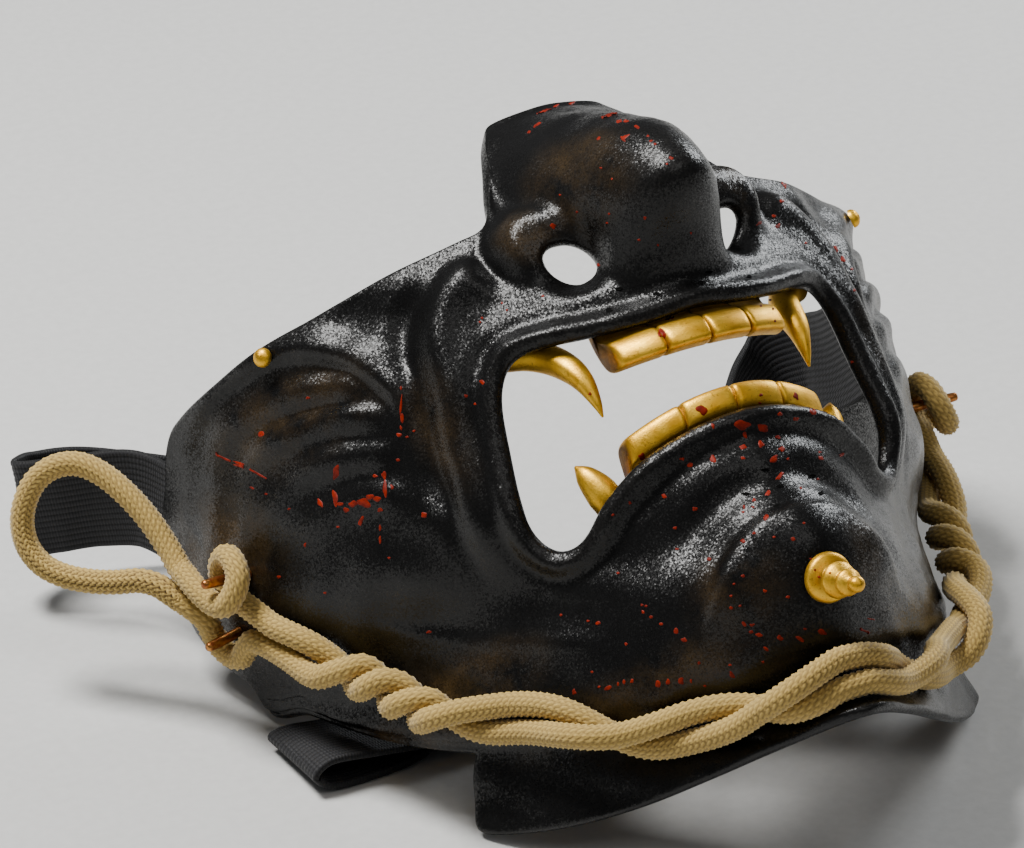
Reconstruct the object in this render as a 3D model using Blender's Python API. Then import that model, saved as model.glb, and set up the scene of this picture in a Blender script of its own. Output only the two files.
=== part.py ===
"""Fierce half mask that guards the lower face, with gold teeth, a chin peg, a twisted jaw rope and an elastic strap.

Every shape is drawn in millimetres in the worn frame: x to the wearer's left, w forward, u up, with the origin
where the chin peg sits on the chin. The mask lies pitched back on the floor, on its throat flange and the rear
corners of its jaw, so the worn pieces hang from one empty that holds that pitch. Each object's mesh is in metres.
"""
from collections import namedtuple
from math import cos, pi, radians, sin

import bmesh
import bpy
import numpy as np
from mathutils import Vector

MM = 0.001

# Driving dimensions, in millimetres and degrees
REST_PITCH = 45.0
REST_LIFT = 70.0
REST_BACK = -67.0
WALL = 2.8
GAP = 0.35
GRID_STEP = 2.0
PLATE_KEEP = 0.14
FLANGE_ROOT_HALF = 62.0
FLANGE_EDGE_HALF = 67.0
NOSE_RISE = 26.0
BRIDGE_BACK = 27.0
REAR_DROP = 11.0
CORNER_DROP = 6.2
ROPE_DIAMETER = 6.0
STRAND_GAP = 0.35
ROPE_BED = 3.7
ROPE_STEP = 4.0
ROPE_SIDES = 6
ROPE_TURNS = 4
ROPE_REST = 0.3
ROPE_KNOT_AT = 108.0
ROPE_KNOT_LONG = 26.0
ROPE_KNOT_EASE = 8.0
STRAP_WIDTH = 25.0
STRAP_THICK = 1.6
SEAT_STEP = 1.2
SEAT_MARGIN = 0.8
SEAT_REACH = 8.0

# Fineness of the curves drawn through tables, as steps to each span, and of the searches on the plate
LINE_SAMPLES = 129
OUTLINE_STEPS = 6
STROKE_STEPS = 8
ROUTE_STEPS = 12
HITCH_STEPS = 3
STRAP_STEPS = 2
SNAP_STEP, SNAP_LIMIT, SNAP_ROUNDS = 0.05, 0.6, 6
SEARCH_STEP, SEARCH_ROUNDS = 0.2, 5
LIFT_ROUNDS = 12
LIFT_SPREAD = (0.25, 0.5, 0.25)
STEEPEST = 5.0

# Each section is one level line of the plate, from its top edge down to the flange's free edge. down is the
# distance along the plate. The three up values are its height in front, at the cheek and at the rear edge.
# In plan it is a cubic curve that leaves the middle at front, runs straight for run, and is drawn by the
# side point towards the rear point.
Section = namedtuple("Section", "name down up_front up_cheek up_rear front run side_x side rear_x rear")
SECTIONS = (
    Section("top edge",     0, 108, 104, 97.0, -27, 30, 98, -70, 91.0, -132.0),
    Section("nostrils",    13,  95,  92, 83.0, -21, 30, 97, -68, 91.0, -135.0),
    Section("upper lip",   33,  77,  76, 70.0, -13, 28, 96, -66, 92.0, -136.0),
    Section("mouth",       52,  58,  57, 56.0, -12, 26, 95, -64, 92.0, -136.0),
    Section("lower lip",   68,  42,  41, 46.0,  -9, 24, 90, -60, 89.5, -132.5),
    Section("under lip",   86,  24,  25, 41.0,  -5, 17, 75, -62, 87.5, -129.5),
    Section("chin",       104,   6,   9, 39.0,   1, 17, 67, -56, 86.0, -127.5),
    Section("chin foot",  122, -12,  -4, 37.5,  -6.5, 18, 67, -53, 85.5, -126.5),
    Section("groove",     134, -20,  -9, 36.5, -14, 15, 67, -57, 85.0, -126.0),
    Section("flange edge", 150, -30, -28.3, 18.4, -2, 12, 57, -58, 93.0, -117.0),
)
GROOVE_DOWN = 134.0
# Where the bridge rises and leans back, the top edge's rear end drops and the jaw's rear corner reaches down:
# distances across, shares of a level line, or distances down between which each one starts and ends
RISE_ACROSS, RISE_DOWN = (14.0, 36.0), (0.0, 26.0)
BACK_ACROSS, BACK_DOWN = (14.0, 34.0), (0.0, 17.0)
REAR_SHARE, REAR_DOWN = (0.86, 1.0), (0.0, 30.0)
CORNER_SHARE, CORNER_DOWN = (0.90, 1.0), (84.0, 128.0)
# What each place of the unrolled plate holds: x, w, u, across, down and the outward direction
UP, ACROSS, DOWN = 2, 3, 4

# Outlines on the unrolled plate: across is the distance from the middle along a level line, up the height.
MOUTH = ((0, 71.5), (12, 71), (24, 72), (36, 74), (44.5, 74), (50, 68), (53, 56), (56, 43),
         (57, 34), (53, 28.5), (46, 29), (37, 35), (26, 40), (13, 43), (0, 44))
NOSTRIL_AT = (21.8, 92.0)
NOSTRIL_RADII = (6.4, 4.8)
NOSTRIL_TILT = 20.0
LIP_CREST = 1.6
LIP_INNER = 2.6
LIP_OUTER = 3.8
LIP_HEIGHT = 2.6

# The nose: how far the ridge stands out, and half the body's width, at each height.
NOSE_UP = (76, 79, 82, 85, 89, 93, 98, 103, 109, 116, 123, 131)
NOSE_OUT = (0, 2, 9, 16, 22, 25.5, 24.5, 20, 15.5, 11.5, 9, 6)
NOSE_HALF = (14, 14, 15, 15, 15.5, 16, 17.5, 21, 25, 28, 30, 32)
NOSE_ROUND = 0.3
WING_AT = (25.5, 98.5)
WING_RADII = (13.0, 12.0)
WING_OUT = 6.0
WING_SLOPE = 0.7
POCKET_RADIUS = 11.0
POCKET_DEPTH = 8.0

# Raised folds and cut grooves, drawn as strokes on the unrolled plate. left and right are the widths of the
# slope on either side of the stroke, fade_in and fade_out the shares of its length over which it dies away.
Fold = namedtuple("Fold", "name height left right fade_in fade_out stroke")
FOLDS = (
    Fold("cheek band", 3.2, 6, 10, 0.10, 0.35,
         ((38, 98), (46, 96), (55, 88), (60, 76), (63, 62), (65, 48), (67, 36), (68, 22))),
    Fold("cheek valley", -1.8, 4, 3, 0.15, 0.4,
         ((52, 101), (61, 94), (67, 82), (70, 66), (72, 50), (73, 38), (73, 26))),
    Fold("cheekbone", 2.4, 2.6, 9, 0.4, 0.2,
         ((138, 92), (116, 98), (98, 100), (86, 97), (78, 90), (74, 80), (73, 70))),
    Fold("wrinkle 1", 1.5, 3.0, 7, 0.15, 0.55, ((76, 83), (86, 88), (100, 91), (118, 90), (134, 84))),
    Fold("wrinkle 2", 1.7, 3.0, 7, 0.15, 0.55, ((76, 74), (87, 79), (101, 82), (117, 80), (132, 73))),
    Fold("wrinkle 3", 1.5, 3.0, 7, 0.15, 0.55, ((77, 65), (88, 70), (101, 72), (115, 69), (128, 62))),
    Fold("wrinkle 4", 1.2, 3.0, 7, 0.15, 0.55, ((78, 56), (88, 60), (99, 61), (111, 58), (122, 52))),
    Fold("chin boss", 2.6, 2.4, 16, 0.0, 0.3,
         ((0, 17), (9, 15.5), (18, 11), (26, 3), (30, -6))),
    Fold("chin crease", -1.6, 5, 6, 0.0, 0.4, ((0, 27), (12, 26), (24, 21), (34, 13))),
    Fold("nose wrinkle 1", -1.5, 3.5, 1.8, 0.0, 0.3, ((0, 110), (9, 110), (18, 111), (27, 114))),
    Fold("nose wrinkle 2", -1.5, 3.5, 1.8, 0.0, 0.3, ((0, 117), (9, 117), (18, 117), (25, 118))),
    Fold("nose wrinkle 3", -1.3, 3.5, 1.8, 0.0, 0.3, ((0, 124), (9, 124), (17, 123.5), (23, 122.5))),
)


# Tooth strips: cross-section at the middle as (w, u), half length, and how far the ends drop and sit back
TEETH = 4
UPPER_TEETH = ((-19.2, 77.5), (-18.6, 71.6), (-13.2, 69.5), (-10.4, 67), (-9.4, 63.6), (-10.4, 62.2),
               (-15, 62.2), (-18.5, 64), (-21.5, 70), (-22.5, 77.5))
UPPER_HALF, UPPER_ARCH, UPPER_BOW = 21.6, 0.0, 6.5
LOWER_TEETH = ((-14.6, 34.5), (-19, 34.5), (-18.2, 48), (-16.8, 51), (-11.4, 51.5), (-9.9, 49.6),
               (-10.3, 45.4), (-12.6, 44.6), (-14, 43))
LOWER_HALF, LOWER_ARCH, LOWER_BOW = 25.0, 4.2, 10.0
# Stations along one block as a share of its width, and how far the section shrinks there
TOOTH_STATIONS = ((0.02, 0.16), (0.12, 0.0), (0.88, 0.0), (0.98, 0.16))
TOOTH_PINCH_UP = 0.5

# Fangs: x, w, u and radius along each, on the mask's left side
UPPER_FANG = ((38.0, -37.3, 76.4, 3.35), (34.0, -34.8, 75.0, 3.5), (30.6, -31.2, 71.9, 3.5), (28.9, -26.9, 67.6, 3.2),
              (28.0, -24.0, 63.0, 2.5), (27.3, -23.0, 57.6, 1.3), (26.9, -23.2, 53.8, 0.25))
LOWER_FANG = ((29, -31, 34.5, 3.3), (29.8, -31, 38.5, 3.9), (31.9, -31.6, 43.5, 2.6), (33.3, -32.4, 46.5, 0.3))
FANG_STEPS = 2
FANG_SIDES = 8

# Turned pieces: radius and height above the plate
CHIN_PEG_DROP = 26.0
CHIN_PEG_PROFILE = ((5.75, 0), (5.75, 1.5), (4.9, 2.3), (3.2, 2.8), (2.9, 3.6), (4.2, 4.9), (4.2, 6.1), (2.8, 7.6),
                    (2.3, 8.2), (3.1, 9.4), (3.1, 10.3), (1.8, 11.6), (1.5, 12.3), (2.0, 13.4), (1.5, 14.8), (0.3, 15.4))
STUD_AT = (94.0, 99.8)
STUD_PROFILE = ((2.3, 0), (2.3, 0.8), (1.7, 1.7), (0.5, 2.2))
PEG_APART = 17.0
UPPER_PEG_PROFILE = ((1.25, 0), (1.25, 13.2), (0.7, 13.8))
LOWER_PEG_PROFILE = ((1.25, 0), (1.25, 9.4), (0.7, 10.0))

# The jaw rope: its route on the unrolled plate from the middle to the left hitch. In each hitch the upper strand
# goes round the upper peg and passes over itself, and the lower strand goes round the far side of the lower peg.
# along is measured from between the pegs towards the rear, over towards the strand's own peg, and layer is the
# strand's height above one that lies on the plate.
ROPE_ROUTE = ((0, -20), (17, -18.5), (32, -17.5), (44, -14), (57, -9), (74, -2.5), (90, 3), (104, 11.5),
              (119, 32.5), (131.6, 43.1))
HITCH_AT = (138.5, 53.0)
HITCH_AHEAD = (19.5, 28.0)
Turn = namedtuple("Turn", "along over layer")
UPPER_HITCH = (
    Turn(-8, 3.25, 0), Turn(-3, 3.25, 0), Turn(1.5, 3.5, 0), Turn(4.5, 5.6, 0.4), Turn(5.0, 9.0, 1.2),
    Turn(3.0, 12.4, 2.2), Turn(-0.5, 13.4, 3.2), Turn(-4.0, 11.6, 4.4), Turn(-5.0, 8.2, 5.6),
    Turn(-4.2, 5.0, 6.5), Turn(-1.5, 3.4, 6.6), Turn(3.0, 3.25, 6.6), Turn(7.0, 3.25, 6.4), Turn(10.0, 3.25, 6.0),
)
LOWER_HITCH = (
    Turn(-9, 3.6, 0), Turn(-6.2, 6.0, 0), Turn(-5.2, 9.2, 0), Turn(-3.0, 12.4, 0), Turn(0.6, 13.5, 0),
    Turn(3.8, 11.9, 0.3), Turn(5.1, 8.8, 1.0), Turn(5.4, 5.8, 2.4), Turn(7.2, 3.9, 4.4), Turn(10.0, 3.25, 6.0),
)

# The free loop's centre line, and the strap's centre line with the direction of its width, on the floor's axes
ROPE_LOOP = (
    (-100.08, 55.27, 37.17), (-100.13, 58.4, 37.8), (-100.9, 63, 41.3), (-103, 68.5, 46.5), (-106, 74, 51.2),
    (-109.5, 79.5, 54.7), (-113.5, 84, 56.3), (-118, 87.2, 55.3), (-122, 89.2, 51.9), (-124.8, 89.8, 46.7),
    (-126.2, 89, 41.2), (-126, 86.6, 36.3), (-124, 83, 32.7), (-120.5, 78.8, 30.9), (-116, 74, 30.6),
    (-111.5, 69.3, 31.4), (-107.6, 65, 32.9), (-104.7, 61.3, 32.8), (-102.8, 58.7, 31.55), (-101.11, 56.39, 30.25),
)
Band = namedtuple("Band", "x y z wide_x wide_y wide_z")
STRAP = (
    Band(-85.0, 63.1, 51.5, 0, 0.71, 0.71), Band(-86.4, 69.5, 45.2, 0, 0.71, 0.71),
    Band(-86.8, 76.9, 38.6, 0, 0.68, 0.74), Band(-86.8, 84.0, 34.4, 0, 0.50, 0.86),
    Band(-87.5, 92.0, 33.5, 0, 0.25, 0.97), Band(-91.0, 101.0, 33.5, 0, 0.08, 1.0), Band(-98.0, 108.5, 31.5, 0, 0, 1),
    Band(-107.0, 114.0, 29.5, 0, 0, 1), Band(-112.5, 119.5, 27.5, 0, 0, 1), Band(-109.0, 126.0, 25.5, 0, 0, 1),
    Band(-98.0, 128.5, 23.5, 0, 0, 1), Band(-84.0, 127.0, 20.0, 0, 0, 1), Band(-67.0, 119.5, 16.5, 0, 0, 1),
    Band(-53.0, 105.0, 14.3, 0, 0, 1), Band(-44.5, 87.0, 13.9, 0, 0, 1), Band(-41.0, 66.0, 13.9, 0, 0, 1),
    Band(-43.5, 46.0, 13.4, -0.25, 0.20, 0.9), Band(-51.5, 31.0, 8.8, -0.5, 0.6, 0.5),
    Band(-64.0, 21.5, 2.0, -0.25, 0.97, 0.03), Band(-76.0, 19.2, 1.25, 0, 1, 0), Band(-86.0, 18.7, 1.6, 0, 1, 0),
    Band(-90.5, 18.7, 4.2, 0, 1, -0.07), Band(-86.5, 18.7, 6.6, 0, 1, -0.14), Band(-76.0, 18.9, 5.7, 0, 1, -0.14),
    Band(-62.0, 19.6, 5.2, 0, 1, -0.03), Band(-40.0, 20.5, 3.8, 0, 1, 0), Band(-18.0, 22.5, 2.4, 0.05, 1, 0),
    Band(4.0, 29.5, 4.2, -0.3, 0.9, 0.2), Band(26.0, 45.0, 9.9, -0.45, 0.5, 0.6), Band(44.0, 64.0, 13.8, -0.1, 0.1, 1),
    Band(58.0, 82.0, 16.5, 0, 0, 1), Band(71.0, 94.5, 22.0, 0, 0, 1), Band(81.5, 97.0, 27.0, 0, 0.05, 1),
    Band(86.5, 91.0, 31.5, 0, 0.30, 0.95), Band(86.8, 84.0, 35.4, 0, 0.50, 0.86),
    Band(86.8, 76.9, 39.4, 0, 0.68, 0.74), Band(86.4, 69.5, 45.2, 0, 0.71, 0.71), Band(85.0, 63.1, 51.5, 0, 0.71, 0.71),
)


def clear_scene():
    for item in list(bpy.data.objects):
        bpy.data.objects.remove(item, do_unlink=True)


def material(name, colour, roughness, metallic=0.0):
    made = bpy.data.materials.new(name)
    made.use_nodes = True
    shader = made.node_tree.nodes["Principled BSDF"]
    shader.inputs["Base Color"].default_value = (*colour, 1.0)
    shader.inputs["Roughness"].default_value = roughness
    shader.inputs["Metallic"].default_value = metallic
    return made


def ease(value, low, high):
    share = np.clip((value - low) / (high - low), 0.0, 1.0)
    return share * share * (3.0 - 2.0 * share)


def smooth_line(points, per_span):
    """A smooth curve through the points, as an array of positions."""
    knots = np.array(points, float)
    padded = np.vstack([2 * knots[0] - knots[1], knots, 2 * knots[-1] - knots[-2]])
    made = []
    for index in range(len(knots) - 1):
        before, here, there, after = padded[index:index + 4]
        for step in range(per_span):
            t = step / per_span
            made.append(0.5 * (2 * here + (there - before) * t
                               + (2 * before - 5 * here + 4 * there - after) * t ** 2
                               + (3 * here - before - 3 * there + after) * t ** 3))
    made.append(knots[-1])
    return np.array(made)


def level_line(section, share):
    """x, w, u and across along one section, at shares of its length from the middle to the rear edge."""
    t = np.linspace(0.0, 1.0, LINE_SAMPLES)
    first, second, third, last = (1 - t) ** 3, 3 * (1 - t) ** 2 * t, 3 * (1 - t) * t ** 2, t ** 3
    x = second * section.run + third * section.side_x + last * section.rear_x
    w = (first + second) * section.front + third * section.side + last * section.rear
    length = np.concatenate([[0.0], np.cumsum(np.hypot(np.diff(x), np.diff(w)))])
    where = share * length[-1]
    cheek = section.up_cheek - section.up_front
    rear = section.up_rear - section.up_front
    u = section.up_front + (8 * cheek - rear) * share ** 2 + (2 * rear - 8 * cheek) * share ** 3
    return np.stack([np.interp(where, length, x), np.interp(where, length, w), u, where], -1)


def between_sections(down, share):
    """The smooth surface through the sections, one row for each distance down."""
    knots = np.array([section.down for section in SECTIONS], float)
    lines = np.stack([level_line(section, share) for section in SECTIONS])
    slopes = np.gradient(lines, knots, axis=0)
    index = np.clip(np.searchsorted(knots, down, side="right") - 1, 0, len(knots) - 2)
    span = (knots[index + 1] - knots[index])[:, None, None]
    t = (down - knots[index])[:, None, None] / span
    made = (2 * t ** 3 - 3 * t ** 2 + 1) * lines[index] + (t ** 3 - 2 * t ** 2 + t) * span * slopes[index]
    made += (3 * t ** 2 - 2 * t ** 3) * lines[index + 1] + (t ** 3 - t ** 2) * span * slopes[index + 1]
    # The bridge of the nose stands above and behind the cheeks' top edge, which drops off at its rear corners.
    # The jaw's rear corners reach down to the floor, and leave a low gap between them and the flange.
    rise = NOSE_RISE * (1 - ease(made[..., ACROSS], *RISE_ACROSS)) * (1 - ease(down, *RISE_DOWN))[:, None]
    drop = REAR_DROP * ease(share, *REAR_SHARE)[None, :] * (1 - ease(down, *REAR_DOWN))[:, None]
    corner = CORNER_DROP * ease(share, *CORNER_SHARE)[None, :] * ease(down, *CORNER_DOWN)[:, None]
    made[..., UP] += rise - drop - corner
    near_bridge = 1 - ease(made[..., ACROSS], *BACK_ACROSS)
    made[..., 1] -= BRIDGE_BACK * near_bridge * (1 - ease(down, *BACK_DOWN))[:, None]
    return made


def sample(grid, row, column):
    """The grid's values between its points."""
    low_row = np.clip(row.astype(int), 0, grid.shape[0] - 2)
    low_column = np.clip(column.astype(int), 0, grid.shape[1] - 2)
    part_row = (row - low_row)[..., None]
    part_column = (column - low_column)[..., None]
    upper = grid[low_row, low_column] * (1 - part_column) + grid[low_row, low_column + 1] * part_column
    lower = grid[low_row + 1, low_column] * (1 - part_column) + grid[low_row + 1, low_column + 1] * part_column
    return upper * (1 - part_row) + lower * part_row


def surface_normals(points):
    along_row = np.gradient(points, axis=1)
    along_column = np.gradient(points, axis=0)
    normal = np.cross(along_row, along_column)
    return normal / np.maximum(np.linalg.norm(normal, axis=-1, keepdims=True), 1e-9)


def to_segments(across, up, line):
    """Distance to a drawn line, the share of its length at the nearest point, and the side (1 on its left)."""
    nearest = np.full(across.shape, 1e9)
    share = np.zeros(across.shape)
    side = np.ones(across.shape)
    count = len(line) - 1
    for index in range(count):
        (start_a, start_u), (end_a, end_u) = line[index], line[index + 1]
        run_a, run_u = end_a - start_a, end_u - start_u
        t = ((across - start_a) * run_a + (up - start_u) * run_u) / (run_a ** 2 + run_u ** 2 + 1e-12)
        t = np.clip(t, 0.0, 1.0)
        off_a, off_u = across - start_a - t * run_a, up - start_u - t * run_u
        distance = np.hypot(off_a, off_u)
        closer = distance < nearest
        nearest = np.where(closer, distance, nearest)
        share = np.where(closer, (index + t) / count, share)
        side = np.where(closer, np.where(run_a * off_u - run_u * off_a >= 0, 1.0, -1.0), side)
    return nearest, share, side


def outside_mouth(place):
    """Distance from the mouth's outline, negative inside the opening."""
    distance, _, side = to_segments(place[..., ACROSS], place[..., UP], smooth_line(MOUTH, OUTLINE_STEPS))
    return np.where(side > 0, distance, -distance)


def outside_nostril(place):
    turn = radians(NOSTRIL_TILT)
    off_a, off_u = place[..., ACROSS] - NOSTRIL_AT[0], place[..., UP] - NOSTRIL_AT[1]
    along = (off_a * cos(turn) + off_u * sin(turn)) / NOSTRIL_RADII[0]
    over = (off_u * cos(turn) - off_a * sin(turn)) / NOSTRIL_RADII[1]
    return (np.hypot(along, over) - 1.0) * min(NOSTRIL_RADII)


def inside_flange_end(place):
    """Distance from the straight end of the throat flange, negative beyond it, and above the groove."""
    share = np.clip((place[..., DOWN] - GROOVE_DOWN) / (SECTIONS[-1].down - GROOVE_DOWN), 0.0, 1.0)
    half = FLANGE_ROOT_HALF + (FLANGE_EDGE_HALF - FLANGE_ROOT_HALF) * share
    return half - place[..., 0]


def blend_up(first, second, soft):
    """The higher of two reliefs, with a small fillet where they meet."""
    higher = np.maximum(first, second)
    fillet = np.maximum(0.0, soft - np.abs(first - second)) ** 2 / (4 * soft)
    return higher + fillet * np.clip(higher / soft, 0.0, 1.0)


def nose_relief(across, up):
    ridge = np.interp(up, NOSE_UP, NOSE_OUT)
    half = np.interp(up, NOSE_UP, NOSE_HALF)
    fall = np.hypot(across / half, NOSE_ROUND) - NOSE_ROUND
    body = ridge * np.maximum(1 - fall / (np.hypot(1.0, NOSE_ROUND) - NOSE_ROUND), 0.0)
    reach = np.hypot((across - WING_AT[0]) / WING_RADII[0], (up - WING_AT[1]) / WING_RADII[1])
    wing = WING_OUT * ease(1 - reach, 0.0, WING_SLOPE)
    off = np.hypot(across - NOSTRIL_AT[0], up - NOSTRIL_AT[1])
    return blend_up(body, wing, 2.0) - POCKET_DEPTH * (1 - ease(off, 0.0, POCKET_RADIUS))


def fold_relief(across, up, fold):
    distance, share, side = to_segments(across, up, smooth_line(fold.stroke, STROKE_STEPS))
    width = np.where(side > 0, fold.left, fold.right)
    swell = np.clip(1 - (distance / width) ** 2, 0.0, 1.0) ** 2
    start = ease(share, 0.0, fold.fade_in) if fold.fade_in else 1.0
    fade = start * (1 - ease(share, 1 - fold.fade_out, 1.0))
    return fold.height * swell * fade


def relief(place):
    """How far the outer face stands out from the plain surface."""
    across, up = place[..., ACROSS], place[..., UP]
    out = nose_relief(across, up)
    for fold in FOLDS:
        out = out + fold_relief(across, up, fold)
    from_crest = outside_mouth(place) - LIP_CREST
    from_crest = from_crest / np.where(from_crest > 0, LIP_OUTER, LIP_INNER)
    out = out + LIP_HEIGHT * np.clip(1 - from_crest ** 2, 0.0, 1.0) ** 1.5
    return out


def plate_grid(step):
    """Rows and columns of the half plate: points, outward directions and unrolled places."""
    longest = max(level_line(section, np.array([1.0]))[0, 3] for section in SECTIONS)
    columns = int(round(longest / step))
    rows = int(round(SECTIONS[-1].down / step))
    share = np.linspace(0.0, 1.0, columns + 1)
    down = np.linspace(0.0, SECTIONS[-1].down, rows + 1)
    surface = between_sections(down, share)
    normal = surface_normals(surface[..., :3])
    normal[:, 0, 0] = 0.0
    normal /= np.linalg.norm(normal, axis=-1, keepdims=True)
    downs = np.repeat(down[:, None, None], columns + 1, axis=1)
    return np.concatenate([surface, downs, normal], -1)


def cells_round(cut):
    """The grid points with cells of both kinds about them."""
    about = np.zeros((cut.shape[0] + 1, cut.shape[1] + 1), int)
    for row in (0, 1):
        for column in (0, 1):
            about[row:row + cut.shape[0], column:column + cut.shape[1]] += cut
    whole = np.full(about.shape, 4)
    whole[0] = whole[-1] = 2
    whole[:, 0] = whole[:, -1] = 2
    whole[0, 0] = whole[0, -1] = whole[-1, 0] = whole[-1, -1] = 1
    return (about > 0) & (about < whole)


def snap_to_outline(grid, row, column, cut, measure, by_rows=True):
    """Moves the points round a cut onto its outline."""
    edge = cells_round(cut)
    for _ in range(SNAP_ROUNDS):
        value = measure(sample(grid, row, column))
        slope_row = (measure(sample(grid, row + SNAP_STEP, column)) - value) / SNAP_STEP if by_rows else 0.0 * value
        slope_column = (measure(sample(grid, row, column + SNAP_STEP)) - value) / SNAP_STEP
        size = np.maximum(slope_row ** 2 + slope_column ** 2, 1e-4)
        row = np.where(edge, row - np.clip(value * slope_row / size, -SNAP_LIMIT, SNAP_LIMIT), row)
        column = np.where(edge, column - np.clip(value * slope_column / size, -SNAP_LIMIT, SNAP_LIMIT), column)
        column = np.maximum(column, 0.0)
        column[:, 0] = 0.0
    return row, column


def plate_faces(kept, columns, rows, offset):
    """Outer, inner and edge faces of the cells that are kept, over a full grid with the middle in its centre."""
    def outer(r, c):
        return r * columns + c

    def inner(r, c):
        return offset + r * columns + c

    faces = []
    height, width = kept.shape
    for r in range(height):
        for c in range(width):
            if not kept[r, c]:
                continue
            faces.append((outer(r, c), outer(r + 1, c), outer(r + 1, c + 1), outer(r, c + 1)))
            faces.append((inner(r, c), inner(r, c + 1), inner(r + 1, c + 1), inner(r + 1, c)))
            sides = ((r - 1, c, (r, c), (r, c + 1)), (r + 1, c, (r + 1, c + 1), (r + 1, c)),
                     (r, c - 1, (r + 1, c), (r, c)), (r, c + 1, (r, c + 1), (r + 1, c + 1)))
            for near_r, near_c, start, end in sides:
                open_side = not (0 <= near_r < height and 0 <= near_c < width) or not kept[near_r, near_c]
                if open_side:
                    faces.append((outer(*start), outer(*end), inner(*end), inner(*start)))
    return faces


def plate_shell(step, wall):
    """Points and faces of the whole plate as one closed shell, in worn millimetres."""
    grid = plate_grid(step)
    row, column = np.meshgrid(np.arange(grid.shape[0], dtype=float), np.arange(grid.shape[1], dtype=float),
                              indexing="ij")
    middle = sample(grid, row[:-1, :-1] + 0.5, column[:-1, :-1] + 0.5)
    in_mouth = outside_mouth(middle) < 0
    in_nostril = outside_nostril(middle) < 0
    off_flange = (middle[..., DOWN] > GROOVE_DOWN) & (inside_flange_end(middle) < 0)
    row, column = snap_to_outline(grid, row, column, in_mouth, outside_mouth)
    row, column = snap_to_outline(grid, row, column, in_nostril, outside_nostril)
    below = middle[:, 0, DOWN] > GROOVE_DOWN
    first = int(np.argmax(below))
    end_column = column[first:].copy()
    _, end_column = snap_to_outline(grid, row[first:], end_column, off_flange[first:], inside_flange_end, False)
    column[first + 1:] = end_column[1:]
    column[first, :] = np.where(cells_round(off_flange[first:])[0], end_column[0], column[first])
    place = sample(grid, row, column)
    point, normal = place[..., :3], place[..., 5:]
    normal /= np.linalg.norm(normal, axis=-1, keepdims=True)
    out = relief(place)
    slope_row = np.gradient(out, axis=0) / np.linalg.norm(np.gradient(point, axis=0), axis=-1)
    slope_column = np.gradient(out, axis=1) / np.linalg.norm(np.gradient(point, axis=1), axis=-1)
    thick = wall * np.sqrt(1 + np.minimum(slope_row ** 2 + slope_column ** 2, STEEPEST))
    outer = point + normal * out[..., None]
    inner = point + normal * (out - thick)[..., None]
    outer[:, 0, 0] = 0.0
    inner[:, 0, 0] = 0.0
    flip = np.array([-1.0, 1.0, 1.0])
    whole_outer = np.concatenate([(outer * flip)[:, :0:-1], outer], axis=1)
    whole_inner = np.concatenate([(inner * flip)[:, :0:-1], inner], axis=1)
    half_kept = ~(in_mouth | in_nostril | off_flange)
    kept = np.concatenate([half_kept[:, ::-1], half_kept], axis=1)
    rows, columns = whole_outer.shape[:2]
    points = np.concatenate([whole_outer.reshape(-1, 3), whole_inner.reshape(-1, 3)])
    faces = plate_faces(kept, columns, rows, rows * columns)
    return points, faces


def worn(points):
    """Worn millimetres (x, w, u) to the metres of the empty that carries the mask (x, -w, u)."""
    made = np.array(points, float)
    return made * np.array([1.0, -1.0, 1.0]) * MM


def mesh_object(name, points, faces, look, parent=None, smooth_angle=35.0):
    made = bmesh.new()
    corners = [made.verts.new(Vector(point)) for point in points]
    for face in faces:
        made.faces.new([corners[index] for index in face])
    loose = [corner for corner in made.verts if not corner.link_faces]
    bmesh.ops.delete(made, geom=loose, context="VERTS")
    bmesh.ops.recalc_face_normals(made, faces=made.faces)
    mesh = bpy.data.meshes.new(name)
    made.to_mesh(mesh)
    made.free()
    mesh.materials.append(look)
    mesh.shade_smooth()
    mesh.set_sharp_from_angle(angle=radians(smooth_angle))
    item = bpy.data.objects.new(name, mesh)
    bpy.context.scene.collection.objects.link(item)
    item.parent = parent
    return item


def loft(rings):
    """Points and faces of a closed body through rings of equal size, with flat ends."""
    rings = np.array(rings)
    count, size = rings.shape[:2]
    faces = []
    for ring in range(count - 1):
        for side in range(size):
            after = (side + 1) % size
            faces.append((ring * size + side, ring * size + after,
                          (ring + 1) * size + after, (ring + 1) * size + side))
    faces.append(tuple(range(size))[::-1])
    faces.append(tuple((count - 1) * size + side for side in range(size)))
    return rings.reshape(-1, 3), faces


def across_axes(path):
    """Two directions across a path at each of its points, carried along without twist."""
    ahead = np.gradient(path, axis=0)
    ahead /= np.linalg.norm(ahead, axis=1, keepdims=True)
    first = np.cross(ahead[0], [0.0, 0.0, 1.0])
    if np.linalg.norm(first) < 0.1:
        first = np.cross(ahead[0], [0.0, 1.0, 0.0])
    firsts = []
    for direction in ahead:
        first = first - direction * first.dot(direction)
        first = first / np.linalg.norm(first)
        firsts.append(first)
    firsts = np.array(firsts)
    return firsts, np.cross(ahead, firsts)


def tube_rings(path, radii, sides):
    first, second = across_axes(np.array(path, float))
    rings = []
    for point, radius, one, two in zip(path, radii, first, second):
        turn = np.linspace(0.0, 2 * pi, sides, endpoint=False)[:, None]
        rings.append(point + radius * (np.cos(turn) * one + np.sin(turn) * two))
    return rings


def face_plate(look, rest):
    points, faces = plate_shell(GRID_STEP, WALL)
    item = mesh_object("face_plate", worn(points), faces, look, rest)
    fewer = item.modifiers.new("fewer faces", "DECIMATE")
    fewer.ratio = PLATE_KEEP
    fewer.use_symmetry = True
    fewer.symmetry_axis = "X"
    return item


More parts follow.
